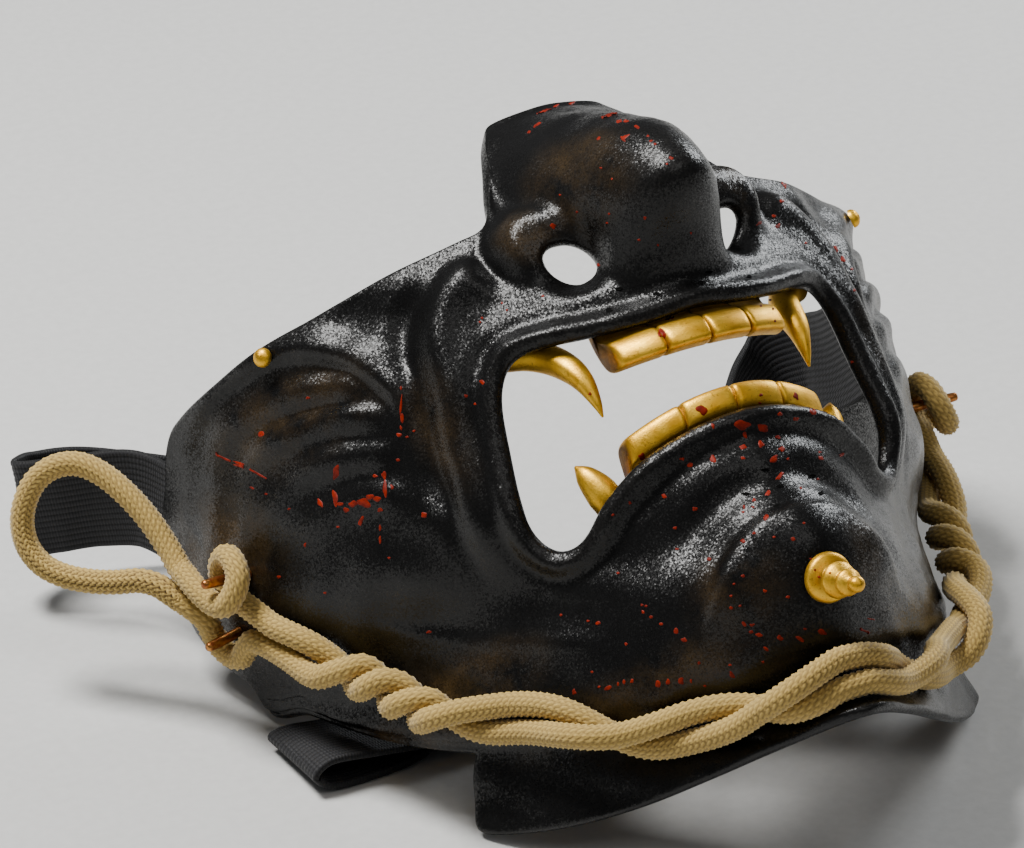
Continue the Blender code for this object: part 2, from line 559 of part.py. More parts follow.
def tooth_strip(name, profile, half, arch, bow, look, rest):
    """A strip of blocks moulded as one piece. The profile is the middle's cross-section as w and u."""
    profile = np.array(profile, float)
    middle_w, middle_u = profile.mean(axis=0)
    width = 2 * half / TEETH
    rings = []
    for tooth in range(TEETH):
        left = -half + tooth * width
        for inset, pinch in TOOTH_STATIONS:
            at = left + inset * width
            w = profile[:, 0] + (middle_w - profile[:, 0]) * pinch - bow * (at / half) ** 2
            u = profile[:, 1] + (middle_u - profile[:, 1]) * pinch * TOOTH_PINCH_UP - arch * (at / half) ** 2
            rings.append(np.stack([np.full(len(profile), at), w, u], -1))
    points, faces = loft(rings)
    return mesh_object(name, worn(points), faces, look, rest, 30.0)


def fang(name, stations, side, look, rest):
    table = np.array(stations, float)
    fine = smooth_line(table, FANG_STEPS)
    path = fine[:, :3] * np.array([side, 1.0, 1.0])
    points, faces = loft(tube_rings(path, fine[:, 3], FANG_SIDES))
    return mesh_object(name, worn(points), faces, look, rest)


def turned(name, profile, foot, axis, look, rest, sides):
    """A body turned about an axis. The profile is a list of radius and height above the foot."""
    axis = np.array(axis, float)
    heights = np.array([height for _, height in profile], float)
    radii = np.array([radius for radius, _ in profile], float)
    first = np.cross(axis, [1.0, 0.0, 0.0] if abs(axis[0]) < 0.8 else [0.0, 1.0, 0.0])
    first /= np.linalg.norm(first)
    second = np.cross(axis, first)
    rings = []
    for radius, height in zip(radii, heights):
        turn = np.linspace(0.0, 2 * pi, sides, endpoint=False)[:, None]
        rings.append(foot + axis * height + radius * (np.cos(turn) * first + np.sin(turn) * second))
    points, faces = loft(rings)
    return mesh_object(name, worn(points), faces, look, rest, 30.0)


def places_at(grid, across, up):
    """What the plate holds at places given by distance across and height, read between the grid's points."""
    across, up = np.array(across, float), np.array(up, float)
    gap = (grid[None, ..., ACROSS] - across[:, None, None]) ** 2 + (grid[None, ..., UP] - up[:, None, None]) ** 2
    nearest = gap.reshape(len(across), -1).argmin(axis=1)
    row, column = (nearest // grid.shape[1]).astype(float), (nearest % grid.shape[1]).astype(float)
    for _ in range(SEARCH_ROUNDS):
        here = sample(grid, row, column)
        by_row = (sample(grid, row + SEARCH_STEP, column) - here) / SEARCH_STEP
        by_column = (sample(grid, row, column + SEARCH_STEP) - here) / SEARCH_STEP
        miss_a, miss_u = across - here[:, ACROSS], up - here[:, UP]
        area = by_row[:, ACROSS] * by_column[:, UP] - by_row[:, UP] * by_column[:, ACROSS]
        area = np.where(np.abs(area) < 1e-6, 1e-6, area)
        move_row = (miss_a * by_column[:, UP] - miss_u * by_column[:, ACROSS]) / area
        move_column = (by_row[:, ACROSS] * miss_u - by_row[:, UP] * miss_a) / area
        row = np.clip(row + np.clip(move_row, -1, 1), 0, grid.shape[0] - 1.001)
        column = np.clip(column + np.clip(move_column, -1, 1), 0, grid.shape[1] - 1.001)
    return sample(grid, row, column)


def on_plate(grid, across, up, height):
    """Points standing off the outer face, and the outward directions there. Minus across is the right side."""
    across = np.array(across, float)
    place = places_at(grid, np.abs(across), up)
    normal = place[:, 5:] / np.linalg.norm(place[:, 5:], axis=1, keepdims=True)
    point = place[:, :3] + normal * (relief(place) + np.array(height, float))[:, None]
    flip = np.where(across < 0, -1.0, 1.0)
    point[:, 0] *= flip
    normal[:, 0] *= flip
    return point, normal


def outer_cloud(grid):
    """Points all over the outer face, on both sides."""
    half = (grid[..., :3] + grid[..., 5:] * relief(grid)[..., None]).reshape(-1, 3)
    return np.concatenate([half, half * np.array([-1.0, 1.0, 1.0])])


def seat_height(cloud, foot, axis, radius):
    """How far along the axis a disc of the radius clears the outer face."""
    off = cloud - foot
    along = off @ axis
    beside = np.linalg.norm(off - along[:, None] * axis, axis=1)
    return along[(beside < radius + SEAT_MARGIN) & (np.abs(along) < SEAT_REACH)].max() + GAP


def lifted(strands, normals, cloud, clear):
    """Strands pushed out together, where the plate's hollows would touch them."""
    for _ in range(LIFT_ROUNDS):
        short = np.zeros(len(normals))
        for strand in strands:
            near = np.array([np.linalg.norm(cloud - point, axis=1).min() for point in strand])
            short = np.maximum(short, clear - near)
        push = np.convolve(np.maximum(short, 0.0), LIFT_SPREAD, "same") + np.maximum(short, 0.0) / 2
        strands = [strand + normals * push[:, None] for strand in strands]
    return strands


def twisted_strands(grid, cloud):
    """The rope's two strands between its hitches, from the mask's right side to its left."""
    half = smooth_line(ROPE_ROUTE, ROUTE_STEPS)
    route = np.concatenate([half[:0:-1] * np.array([-1.0, 1.0]), half])
    base, normal = on_plate(grid, route[:, 0], route[:, 1], np.zeros(len(route)))
    run = np.concatenate([[0.0], np.cumsum(np.linalg.norm(np.diff(base, axis=0), axis=1))])
    places = np.linspace(0.0, run[-1], int(run[-1] / ROPE_STEP) + 1)
    base = np.stack([np.interp(places, run, base[:, axis]) for axis in range(3)], -1)
    normal = np.stack([np.interp(places, run, normal[:, axis]) for axis in range(3)], -1)
    ahead = np.gradient(base, axis=0)
    ahead /= np.linalg.norm(ahead, axis=1, keepdims=True)
    normal -= ahead * (normal * ahead).sum(axis=1, keepdims=True)
    normal /= np.linalg.norm(normal, axis=1, keepdims=True)
    side = np.cross(normal, ahead)
    turn = 2 * pi * ROPE_TURNS * places / run[-1]
    turn -= ROPE_REST * np.sin(2 * turn)
    knotted = np.zeros(len(places))
    for knot in (run[-1] / 2 - ROPE_KNOT_AT, run[-1] / 2 + ROPE_KNOT_AT):
        turn += 2 * pi * np.clip((places - knot) / ROPE_KNOT_LONG + 0.5, 0.0, 1.0)
        beyond = np.abs(places - knot) - ROPE_KNOT_LONG / 2
        knotted = np.maximum(knotted, 1 - ease(beyond, 0.0, ROPE_KNOT_EASE))
    apart = ROPE_DIAMETER / 2 + STRAND_GAP / 2
    middle = np.abs(np.sin(turn)) * (1 - knotted) + knotted
    strands = []
    for way in (1.0, -1.0):
        height = ROPE_BED + apart * (middle + way * np.sin(turn))
        strands.append(base + normal * height[:, None] + side * (way * apart * np.cos(turn))[:, None])
    return lifted(strands, normal, cloud, ROPE_BED)


def hitch_line(grid, side, peg):
    """A strand's turn round one peg. side is 1 on the mask's left, peg is 1 for the upper and -1 for the lower."""
    rows = UPPER_HITCH if peg > 0 else LOWER_HITCH
    table = smooth_line([(row.along, row.over, row.layer) for row in rows], HITCH_STEPS)
    ahead = np.array(HITCH_AHEAD) / np.hypot(*HITCH_AHEAD)
    over = np.array([-ahead[1], ahead[0]]) * peg
    place = np.array(HITCH_AT) + table[:, :1] * ahead + table[:, 1:2] * over
    point, _ = on_plate(grid, side * place[:, 0], place[:, 1], ROPE_BED + table[:, 2])
    return point


def rope_path(grid, cloud):
    """The whole rope's centre line, from the lower end of its free loop to the upper end."""
    lower, upper = twisted_strands(grid, cloud)
    near_low, near_up = hitch_line(grid, -1, -1), hitch_line(grid, -1, 1)
    far_low, far_up = hitch_line(grid, 1, -1), hitch_line(grid, 1, 1)
    bend_at = (far_low[-1] + far_up[-1]) / 2
    ahead = far_up[-1] - far_up[-2]
    bend = bend_at + ahead / np.linalg.norm(ahead) * np.linalg.norm(far_up[-1] - far_low[-1]) / 2
    knots = np.concatenate([near_low[::-1], lower, far_low, [bend], far_up[::-1], upper[::-1], near_up])
    run = np.concatenate([[0.0], np.cumsum(np.linalg.norm(np.diff(knots, axis=0), axis=1))])
    places = np.linspace(0.0, run[-1], int(run[-1] / ROPE_STEP) + 1)
    path = np.stack([np.interp(places, run, knots[:, axis]) for axis in range(3)], -1)
    return path


def jaw_rope(grid, cloud, look, rest):
    path = rope_path(grid, cloud)
    points, faces = loft(tube_rings(path, np.full(len(path), ROPE_DIAMETER / 2), ROPE_SIDES))
    return mesh_object("jaw_rope", worn(points), faces, look, rest, 60.0)


def rope_pegs(grid, look, rest):
    ahead = np.array(HITCH_AHEAD) / np.hypot(*HITCH_AHEAD)
    over = np.array([-ahead[1], ahead[0]])
    for side_name, side in (("left", 1.0), ("right", -1.0)):
        for name, way, profile in (("upper", 1.0, UPPER_PEG_PROFILE), ("lower", -1.0, LOWER_PEG_PROFILE)):
            place = np.array(HITCH_AT) + over * way * PEG_APART / 2
            foot, normal = on_plate(grid, [side * place[0]], [place[1]], [GAP])
            turned("rope_peg_%s_%s" % (name, side_name), profile, foot[0], normal[0], look, rest, 8)


def rope_loop(look):
    """The rope's free loop beside the mask's right cheek, in world millimetres."""
    line = np.array(ROPE_LOOP)
    curve = bpy.data.curves.new("rope_loop_right", "CURVE")
    curve.dimensions = "3D"
    curve.bevel_depth = ROPE_DIAMETER / 2 * MM
    curve.bevel_resolution = 2
    curve.use_fill_caps = True
    spline = curve.splines.new("POLY")
    spline.points.add(len(line) - 1)
    for point, place in zip(spline.points, line):
        point.co = (*(place * MM), 1.0)
    curve.materials.append(look)
    item = bpy.data.objects.new("rope_loop_right", curve)
    bpy.context.scene.collection.objects.link(item)
    return item


def elastic_strap(look):
    """A flat band from one cheek's inner face to the other, in world millimetres."""
    table = smooth_line([(row.x, row.y, row.z, row.wide_x, row.wide_y, row.wide_z) for row in STRAP], STRAP_STEPS)
    path, wide = table[:, :3], table[:, 3:]
    ahead = np.gradient(path, axis=0)
    ahead /= np.linalg.norm(ahead, axis=1, keepdims=True)
    wide = wide - ahead * (wide * ahead).sum(axis=1, keepdims=True)
    wide /= np.linalg.norm(wide, axis=1, keepdims=True)
    thick = np.cross(ahead, wide)
    rings = []
    for point, across, through in zip(path, wide, thick):
        ring = [point + across * STRAP_WIDTH / 2 * a + through * STRAP_THICK / 2 * b
                for a, b in ((-1, -1), (1, -1), (1, 1), (-1, 1))]
        rings.append(ring)
    points, faces = loft(rings)
    return mesh_object("elastic_strap", points * MM, faces, look, None, 50.0)


def main():
    clear_scene()
    resin = material("black resin", (0.012, 0.011, 0.010), 0.38)
    gold = material("gold paint", (0.72, 0.42, 0.06), 0.32, 0.8)
    bronze = material("bronze pin", (0.35, 0.16, 0.05), 0.35, 1.0)
    tan = material("tan rope", (0.60, 0.46, 0.26), 0.85)
    elastic = material("black elastic", (0.02, 0.02, 0.022), 0.7)
    rest = bpy.data.objects.new("rest", None)
    rest.rotation_euler = (radians(-REST_PITCH), 0.0, 0.0)
    rest.location = (0.0, REST_BACK * MM, REST_LIFT * MM)
    bpy.context.scene.collection.objects.link(rest)
    grid = plate_grid(SEAT_STEP)
    cloud = outer_cloud(grid)
    face_plate(resin, rest)
    tooth_strip("upper_teeth", UPPER_TEETH, UPPER_HALF, UPPER_ARCH, UPPER_BOW, gold, rest)
    tooth_strip("lower_teeth", LOWER_TEETH, LOWER_HALF, LOWER_ARCH, LOWER_BOW, gold, rest)
    for name, side in (("left", 1.0), ("right", -1.0)):
        fang("upper_fang_" + name, UPPER_FANG, side, gold, rest)
        fang("lower_fang_" + name, LOWER_FANG, side, gold, rest)
        foot, normal = on_plate(grid, [side * STUD_AT[0]], [STUD_AT[1]], [GAP])
        turned("cheek_stud_" + name, STUD_PROFILE, foot[0], normal[0], gold, rest, 10)
    axis = np.array([0.0, cos(radians(CHIN_PEG_DROP)), -sin(radians(CHIN_PEG_DROP))])
    foot = axis * seat_height(cloud, np.zeros(3), axis, CHIN_PEG_PROFILE[0][0])
    turned("chin_peg", CHIN_PEG_PROFILE, foot, axis, gold, rest, 12)
    rope_pegs(grid, bronze, rest)
    jaw_rope(grid, cloud, tan, rest)
    rope_loop(tan)
    elastic_strap(elastic)


main()
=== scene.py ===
"""Looks of the fierce half mask: fine relief, gold teeth, braided rope, ribbed strap, spatter and finishes.

The shapes repeat the part's own sections, outlines and routes at a finer step, in the same frame. Worn
millimetres are x to the wearer's left, w forward and u up from the foot of the chin peg. What is made here
is in metres.
"""
from collections import namedtuple
from math import cos, pi, radians, sin

import bmesh
import bpy
import numpy as np
from mathutils import Matrix, Vector
from mathutils.bvhtree import BVHTree


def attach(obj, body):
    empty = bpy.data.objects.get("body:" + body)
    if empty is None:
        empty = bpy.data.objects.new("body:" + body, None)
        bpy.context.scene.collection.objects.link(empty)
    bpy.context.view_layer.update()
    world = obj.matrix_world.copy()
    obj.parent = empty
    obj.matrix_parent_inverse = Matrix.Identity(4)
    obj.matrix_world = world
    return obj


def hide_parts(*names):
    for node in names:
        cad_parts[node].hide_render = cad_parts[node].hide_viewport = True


MM = 0.001

# Driving dimensions, in millimetres and degrees
REST_PITCH = 45.0
REST_LIFT = 70.0
REST_BACK = -67.0
WALL = 2.8
GAP = 0.35
FLANGE_ROOT_HALF = 62.0
FLANGE_EDGE_HALF = 67.0
NOSE_RISE = 26.0
BRIDGE_BACK = 27.0
REAR_DROP = 11.0
CORNER_DROP = 6.2
ROPE_DIAMETER = 6.0
STRAND_GAP = 0.35
ROPE_BED = 3.7
ROPE_STEP = 4.0
ROPE_TURNS = 4
ROPE_REST = 0.3
ROPE_KNOT_AT = 108.0
ROPE_KNOT_LONG = 26.0
ROPE_KNOT_EASE = 8.0
STRAP_WIDTH = 25.0
STRAP_THICK = 1.6
SEAT_STEP = 1.2
SEAT_MARGIN = 0.8
SEAT_REACH = 8.0

# Fineness of the curves drawn through tables, as steps to each span, and of the searches on the plate
LINE_SAMPLES = 129
OUTLINE_STEPS = 6
STROKE_STEPS = 8
ROUTE_STEPS = 12
HITCH_STEPS = 3
SNAP_STEP, SNAP_LIMIT, SNAP_ROUNDS = 0.05, 0.6, 6
SEARCH_STEP, SEARCH_ROUNDS = 0.2, 5
LEAST_LENGTH, LEAST_SLOPE, LEAST_AREA, GRID_EDGE = 1e-9, 1e-4, 1e-6, 0.001
LIFT_ROUNDS = 12
LIFT_SPREAD = (0.25, 0.5, 0.25)

# Each section is one level line of the plate, from its top edge down to the flange's free edge. down is the
# distance along the plate. The three up values are its height in front, at the cheek and at the rear edge.
# In plan it is a cubic curve that leaves the middle at front, runs straight for run, and is drawn by the
# side point towards the rear point.
Section = namedtuple("Section", "name down up_front up_cheek up_rear front run side_x side rear_x rear")
SECTIONS = (
    Section("top edge",     0, 108, 104, 97.0, -27, 30, 98, -70, 91.0, -132.0),
    Section("nostrils",    13,  95,  92, 83.0, -21, 30, 97, -68, 91.0, -135.0),
    Section("upper lip",   33,  77,  76, 70.0, -13, 28, 96, -66, 92.0, -136.0),
    Section("mouth",       52,  58,  57, 56.0, -12, 26, 95, -64, 92.0, -136.0),
    Section("lower lip",   68,  42,  41, 46.0,  -9, 24, 90, -60, 89.5, -132.5),
    Section("under lip",   86,  24,  25, 41.0,  -5, 17, 75, -62, 87.5, -129.5),
    Section("chin",       104,   6,   9, 39.0,   1, 17, 67, -56, 86.0, -127.5),
    Section("chin foot",  122, -12,  -4, 37.5,  -6.5, 18, 67, -53, 85.5, -126.5),
    Section("groove",     134, -20,  -9, 36.5, -14, 15, 67, -57, 85.0, -126.0),
    Section("flange edge", 150, -30, -28.3, 18.4, -2, 12, 57, -58, 93.0, -117.0),
)
GROOVE_DOWN = 134.0
# Where the bridge rises and leans back, the top edge's rear end drops and the jaw's rear corner reaches down:
# distances across, shares of a level line, or distances down between which each one starts and ends
RISE_ACROSS, RISE_DOWN = (14.0, 36.0), (0.0, 26.0)
BACK_ACROSS, BACK_DOWN = (14.0, 34.0), (0.0, 17.0)
REAR_SHARE, REAR_DOWN = (0.86, 1.0), (0.0, 30.0)
CORNER_SHARE, CORNER_DOWN = (0.90, 1.0), (84.0, 128.0)
# What each place of the unrolled plate holds: x, w, u, across, down and the outward direction
UP, ACROSS, DOWN = 2, 3, 4

# Outlines on the unrolled plate: across is the distance from the middle along a level line, up the height.
MOUTH = ((0, 71.5), (12, 71), (24, 72), (36, 74), (44.5, 74), (50, 68), (53, 56), (56, 43),
         (57, 34), (53, 28.5), (46, 29), (37, 35), (26, 40), (13, 43), (0, 44))
NOSTRIL_AT = (21.8, 92.0)
NOSTRIL_RADII = (6.4, 4.8)
NOSTRIL_TILT = 20.0
LIP_CREST = 1.6
LIP_INNER = 2.6
LIP_OUTER = 3.8
LIP_HEIGHT = 2.6

# The nose: how far the ridge stands out, and half the body's width, at each height.
NOSE_UP = (76, 79, 82, 85, 89, 93, 98, 103, 109, 116, 123, 131)
NOSE_OUT = (0, 2, 9, 16, 22, 25.5, 24.5, 20, 15.5, 11.5, 9, 6)
NOSE_HALF = (14, 14, 15, 15, 15.5, 16, 17.5, 21, 25, 28, 30, 32)
NOSE_ROUND = 0.3
WING_AT = (25.5, 98.5)
WING_RADII = (13.0, 12.0)
WING_OUT = 6.0
WING_SLOPE = 0.7
WING_BLEND = 2.0
POCKET_RADIUS = 11.0
POCKET_DEPTH = 8.0

# Raised folds and cut grooves, drawn as strokes on the unrolled plate. left and right are the widths of the
# slope on either side of the stroke, fade_in and fade_out the shares of its length over which it dies away.
Fold = namedtuple("Fold", "name height left right fade_in fade_out stroke")
FOLDS = (
    Fold("cheek band", 3.2, 6, 10, 0.10, 0.35,
         ((38, 98), (46, 96), (55, 88), (60, 76), (63, 62), (65, 48), (67, 36), (68, 22))),
    Fold("cheek valley", -1.8, 4, 3, 0.15, 0.4,
         ((52, 101), (61, 94), (67, 82), (70, 66), (72, 50), (73, 38), (73, 26))),
    Fold("cheekbone", 2.4, 2.6, 9, 0.4, 0.2,
         ((138, 92), (116, 98), (98, 100), (86, 97), (78, 90), (74, 80), (73, 70))),
    Fold("wrinkle 1", 1.5, 3.0, 7, 0.15, 0.55, ((76, 83), (86, 88), (100, 91), (118, 90), (134, 84))),
    Fold("wrinkle 2", 1.7, 3.0, 7, 0.15, 0.55, ((76, 74), (87, 79), (101, 82), (117, 80), (132, 73))),
    Fold("wrinkle 3", 1.5, 3.0, 7, 0.15, 0.55, ((77, 65), (88, 70), (101, 72), (115, 69), (128, 62))),
    Fold("wrinkle 4", 1.2, 3.0, 7, 0.15, 0.55, ((78, 56), (88, 60), (99, 61), (111, 58), (122, 52))),
    Fold("chin boss", 2.6, 2.4, 16, 0.0, 0.3, ((0, 17), (9, 15.5), (18, 11), (26, 3), (30, -6))),
    Fold("chin crease", -1.6, 5, 6, 0.0, 0.4, ((0, 27), (12, 26), (24, 21), (34, 13))),
    Fold("nose wrinkle 1", -1.5, 3.5, 1.8, 0.0, 0.3, ((0, 110), (9, 110), (18, 111), (27, 114))),
    Fold("nose wrinkle 2", -1.5, 3.5, 1.8, 0.0, 0.3, ((0, 117), (9, 117), (18, 117), (25, 118))),
    Fold("nose wrinkle 3", -1.3, 3.5, 1.8, 0.0, 0.3, ((0, 124), (9, 124), (17, 123.5), (23, 122.5))),
)

# Tooth strips: the section at the middle as (w, u), half the length, and how far the ends drop and sit back
TEETH = 4
Strip = namedtuple("Strip", "name section half arch bow")
STRIPS = (
    Strip("upper_teeth", ((-19.2, 77.5), (-18.6, 71.6), (-13.2, 69.5), (-10.4, 67), (-9.4, 63.6),
                          (-10.4, 62.2), (-15, 62.2), (-18.5, 64), (-21.5, 70), (-22.5, 77.5)),
          21.6, 0.0, 6.5),
    Strip("lower_teeth", ((-14.6, 34.5), (-19, 34.5), (-18.2, 48), (-16.8, 51), (-11.4, 51.5),
                          (-9.9, 49.6), (-10.3, 45.4), (-12.6, 44.6), (-14, 43)), 25.0, 4.2, 10.0),
)

# Fangs: x, w, u and radius along each, on the mask's left side
FANGS = {
    "upper_fang_": ((38.0, -37.3, 76.4, 3.35), (34.0, -34.8, 75.0, 3.5), (30.6, -31.2, 71.9, 3.5),
                    (28.9, -26.9, 67.6, 3.2), (28.0, -24.0, 63.0, 2.5), (27.3, -23.0, 57.6, 1.3),
                    (26.9, -23.2, 53.8, 0.25)),
    "lower_fang_": ((29, -31, 34.5, 3.3), (29.8, -31, 38.5, 3.9), (31.9, -31.6, 43.5, 2.6),
                    (33.3, -32.4, 46.5, 0.3)),
}

# Turned pieces: radius and height above the plate
CHIN_PEG_DROP = 26.0
CHIN_PEG_PROFILE = ((5.75, 0), (5.75, 1.5), (4.9, 2.3), (3.2, 2.8), (2.9, 3.6), (4.2, 4.9), (4.2, 6.1),
                    (2.8, 7.6), (2.3, 8.2), (3.1, 9.4), (3.1, 10.3), (1.8, 11.6), (1.5, 12.3), (2.0, 13.4),
                    (1.5, 14.8), (0.3, 15.4))
STUD_AT = (94.0, 99.8)
STUD_PROFILE = ((2.3, 0), (2.3, 0.8), (1.7, 1.7), (0.5, 2.2))
PEG_APART = 17.0
PEG_PROFILES = {"upper": ((1.25, 0), (1.25, 13.2), (0.7, 13.8)),
                "lower": ((1.25, 0), (1.25, 9.4), (0.7, 10.0))}

# The jaw rope: its route on the unrolled plate from the middle to the left hitch. In each hitch the upper
# strand goes round the upper peg and passes over itself, and the lower strand goes round the far side of the
# lower peg. A hitch's rows give the distance from between the pegs towards the rear, the distance towards the
# strand's own peg, and the strand's height above one that lies on the plate.
ROPE_ROUTE = ((0, -20), (17, -18.5), (32, -17.5), (44, -14), (57, -9), (74, -2.5), (90, 3), (104, 11.5),
              (119, 32.5), (131.6, 43.1))
HITCH_AT = (138.5, 53.0)
HITCH_AHEAD = (19.5, 28.0)
UPPER_HITCH = (
    (-8, 3.25, 0), (-3, 3.25, 0), (1.5, 3.5, 0), (4.5, 5.6, 0.4), (5, 9, 1.2), (3, 12.4, 2.2),
    (-0.5, 13.4, 3.2), (-4, 11.6, 4.4), (-5, 8.2, 5.6), (-4.2, 5, 6.5), (-1.5, 3.4, 6.6), (3, 3.25, 6.6),
    (7, 3.25, 6.4), (10, 3.25, 6),
)
LOWER_HITCH = (
    (-9, 3.6, 0), (-6.2, 6, 0), (-5.2, 9.2, 0), (-3, 12.4, 0), (0.6, 13.5, 0), (3.8, 11.9, 0.3),
    (5.1, 8.8, 1), (5.4, 5.8, 2.4), (7.2, 3.9, 4.4), (10, 3.25, 6),
)

# The free loop's centre line, and the strap's with the direction of its width, on the floor's axes
ROPE_LOOP = (
    (-100.08, 55.27, 37.17), (-100.13, 58.4, 37.8), (-100.9, 63, 41.3), (-103, 68.5, 46.5), (-106, 74, 51.2),
    (-109.5, 79.5, 54.7), (-113.5, 84, 56.3), (-118, 87.2, 55.3), (-122, 89.2, 51.9), (-124.8, 89.8, 46.7),
    (-126.2, 89, 41.2), (-126, 86.6, 36.3), (-124, 83, 32.7), (-120.5, 78.8, 30.9), (-116, 74, 30.6),
    (-111.5, 69.3, 31.4), (-107.6, 65, 32.9), (-104.7, 61.3, 32.8), (-102.8, 58.7, 31.55),
    (-101.11, 56.39, 30.25),
)
STRAP = (
    (-85, 63.1, 51.5, 0, 0.71, 0.71), (-86.4, 69.5, 45.2, 0, 0.71, 0.71), (-86.8, 76.9, 38.6, 0, 0.68, 0.74),
    (-86.8, 84, 34.4, 0, 0.50, 0.86), (-87.5, 92, 33.5, 0, 0.25, 0.97), (-91, 101, 33.5, 0, 0.08, 1),
    (-98, 108.5, 31.5, 0, 0, 1), (-107, 114, 29.5, 0, 0, 1), (-112.5, 119.5, 27.5, 0, 0, 1),
    (-109, 126, 25.5, 0, 0, 1), (-98, 128.5, 23.5, 0, 0, 1), (-84, 127, 20, 0, 0, 1),
    (-67, 119.5, 16.5, 0, 0, 1), (-53, 105, 14.3, 0, 0, 1), (-44.5, 87, 13.9, 0, 0, 1),
    (-41, 66, 13.9, 0, 0, 1), (-43.5, 46, 13.4, -0.25, 0.20, 0.9), (-51.5, 31, 8.8, -0.5, 0.6, 0.5),
    (-64, 21.5, 2, -0.25, 0.97, 0.03), (-76, 19.2, 1.25, 0, 1, 0), (-86, 18.7, 1.6, 0, 1, 0),
    (-90.5, 18.7, 4.2, 0, 1, -0.07), (-86.5, 18.7, 6.6, 0, 1, -0.14), (-76, 18.9, 5.7, 0, 1, -0.14),
    (-62, 19.6, 5.2, 0, 1, -0.03), (-40, 20.5, 3.8, 0, 1, 0), (-18, 22.5, 2.4, 0.05, 1, 0),
    (4, 29.5, 4.2, -0.3, 0.9, 0.2), (26, 45, 9.9, -0.45, 0.5, 0.6), (44, 64, 13.8, -0.1, 0.1, 1),
    (58, 82, 16.5, 0, 0, 1), (71, 94.5, 22, 0, 0, 1), (81.5, 97, 27, 0, 0.05, 1),
    (86.5, 91, 31.5, 0, 0.30, 0.95), (86.8, 84, 35.4, 0, 0.50, 0.86), (86.8, 76.9, 39.4, 0, 0.68, 0.74),
    (86.4, 69.5, 45.2, 0, 0.71, 0.71), (85, 63.1, 51.5, 0, 0.71, 0.71),
)

# Fineness of the shapes and of the looks, in millimetres unless they are counts, shares or degrees
PLATE_STEP = 1.1
# The wall is thickened where the relief slopes, up to this slope squared
STEEPEST = 5.0
# RIM_HIGHLIGHT is how strongly the outer face's rim is marked for a painted highlight
RIM_PULL, RIM_ROUND, RIM_HIGHLIGHT, RIM_SMOOTH = 0.35, 0.8, 0.75, 5
RIM_TURNS = (pi / 5, 2 * pi / 5, 3 * pi / 5, 4 * pi / 5)
# The crests' painted highlight: rounds of blur, and the rise over the blurred relief that counts as a whole
# crest
CREST_BLUR, CREST_RISE = 2, 0.30
CORNER_CUTS, CORNER_CUT = 2, 0.25
BLOCK_STATIONS = (0.0, 0.02, 0.05, 0.09, 0.14, 0.2, 0.35, 0.5, 0.65, 0.8, 0.86, 0.91, 0.95, 0.98, 1.0)
BLOCK_ROUND, BLOCK_GROOVE, BLOCK_GROOVE_UP, BLOCK_CROWN = 1.1, 0.3, 0.5, 0.25
FANG_FINE_STEPS, FANG_FINE_SIDES, FANG_RIDGE = 10, 32, 0.05
# How dark the fangs' roots are painted as shade, and over what share of their length
FANG_DARK, FANG_DARK_LONG = 0.6, 0.25
CHIN_PEG_SIDES, STUD_SIDES, PEG_SIDES = 64, 32, 24
TURNED_REACH, TURNED_DEEP, SIDEWAYS = 4, 0.5, 0.8
ROPE_FINE_STEPS = 8
BRAID_CARRIERS, BRAID_SIDES = 14, 42
BRAID_PITCH, BRAID_RELIEF, BRAID_LOW, BRAID_MEAN = 1.68, 0.75, 0.3, 0.88
BRAID_STEP = BRAID_PITCH / 3
ROPE_JOIN = 0.35
STRAP_FINE_STEPS, STRAP_RIBS, STRAP_RIB_COLUMNS = 10, 17, 4
STRAP_RIB_HEIGHT, STRAP_EDGE_ROUND, STRAP_EDGE_THIN = 0.22, 0.5, 0.75
SOFT_EDGES, SHARP_EDGES = 180.0, 60.0
SIDES = {"left": 1.0, "right": -1.0}
MIRROR = np.array([-1.0, 1.0, 1.0])

# Bronze dusting in ovals on the unrolled plate, each as strong as it says in its middle
Dusting = namedtuple("Dusting", "name strength across up wide tall")
DUSTED = (
    Dusting("rear cheek", 0.9, 142, 62, 30, 24),
    Dusting("jaw above the rope", 0.8, 96, 10, 34, 12),
    Dusting("jaw in front", 0.6, 45, -8, 40, 9),
    Dusting("chin side", 0.5, 20, 4, 16, 14),
    Dusting("cheek wrinkles", 0.5, 100, 84, 34, 15),
    Dusting("nose side", 0.55, 13, 104, 12, 14),
    Dusting("nose wing", 0.6, 27, 99.5, 9, 9),
    Dusting("beside the lip", 0.4, 66, 66, 10, 22),
)
DUST_CORE = 0.2

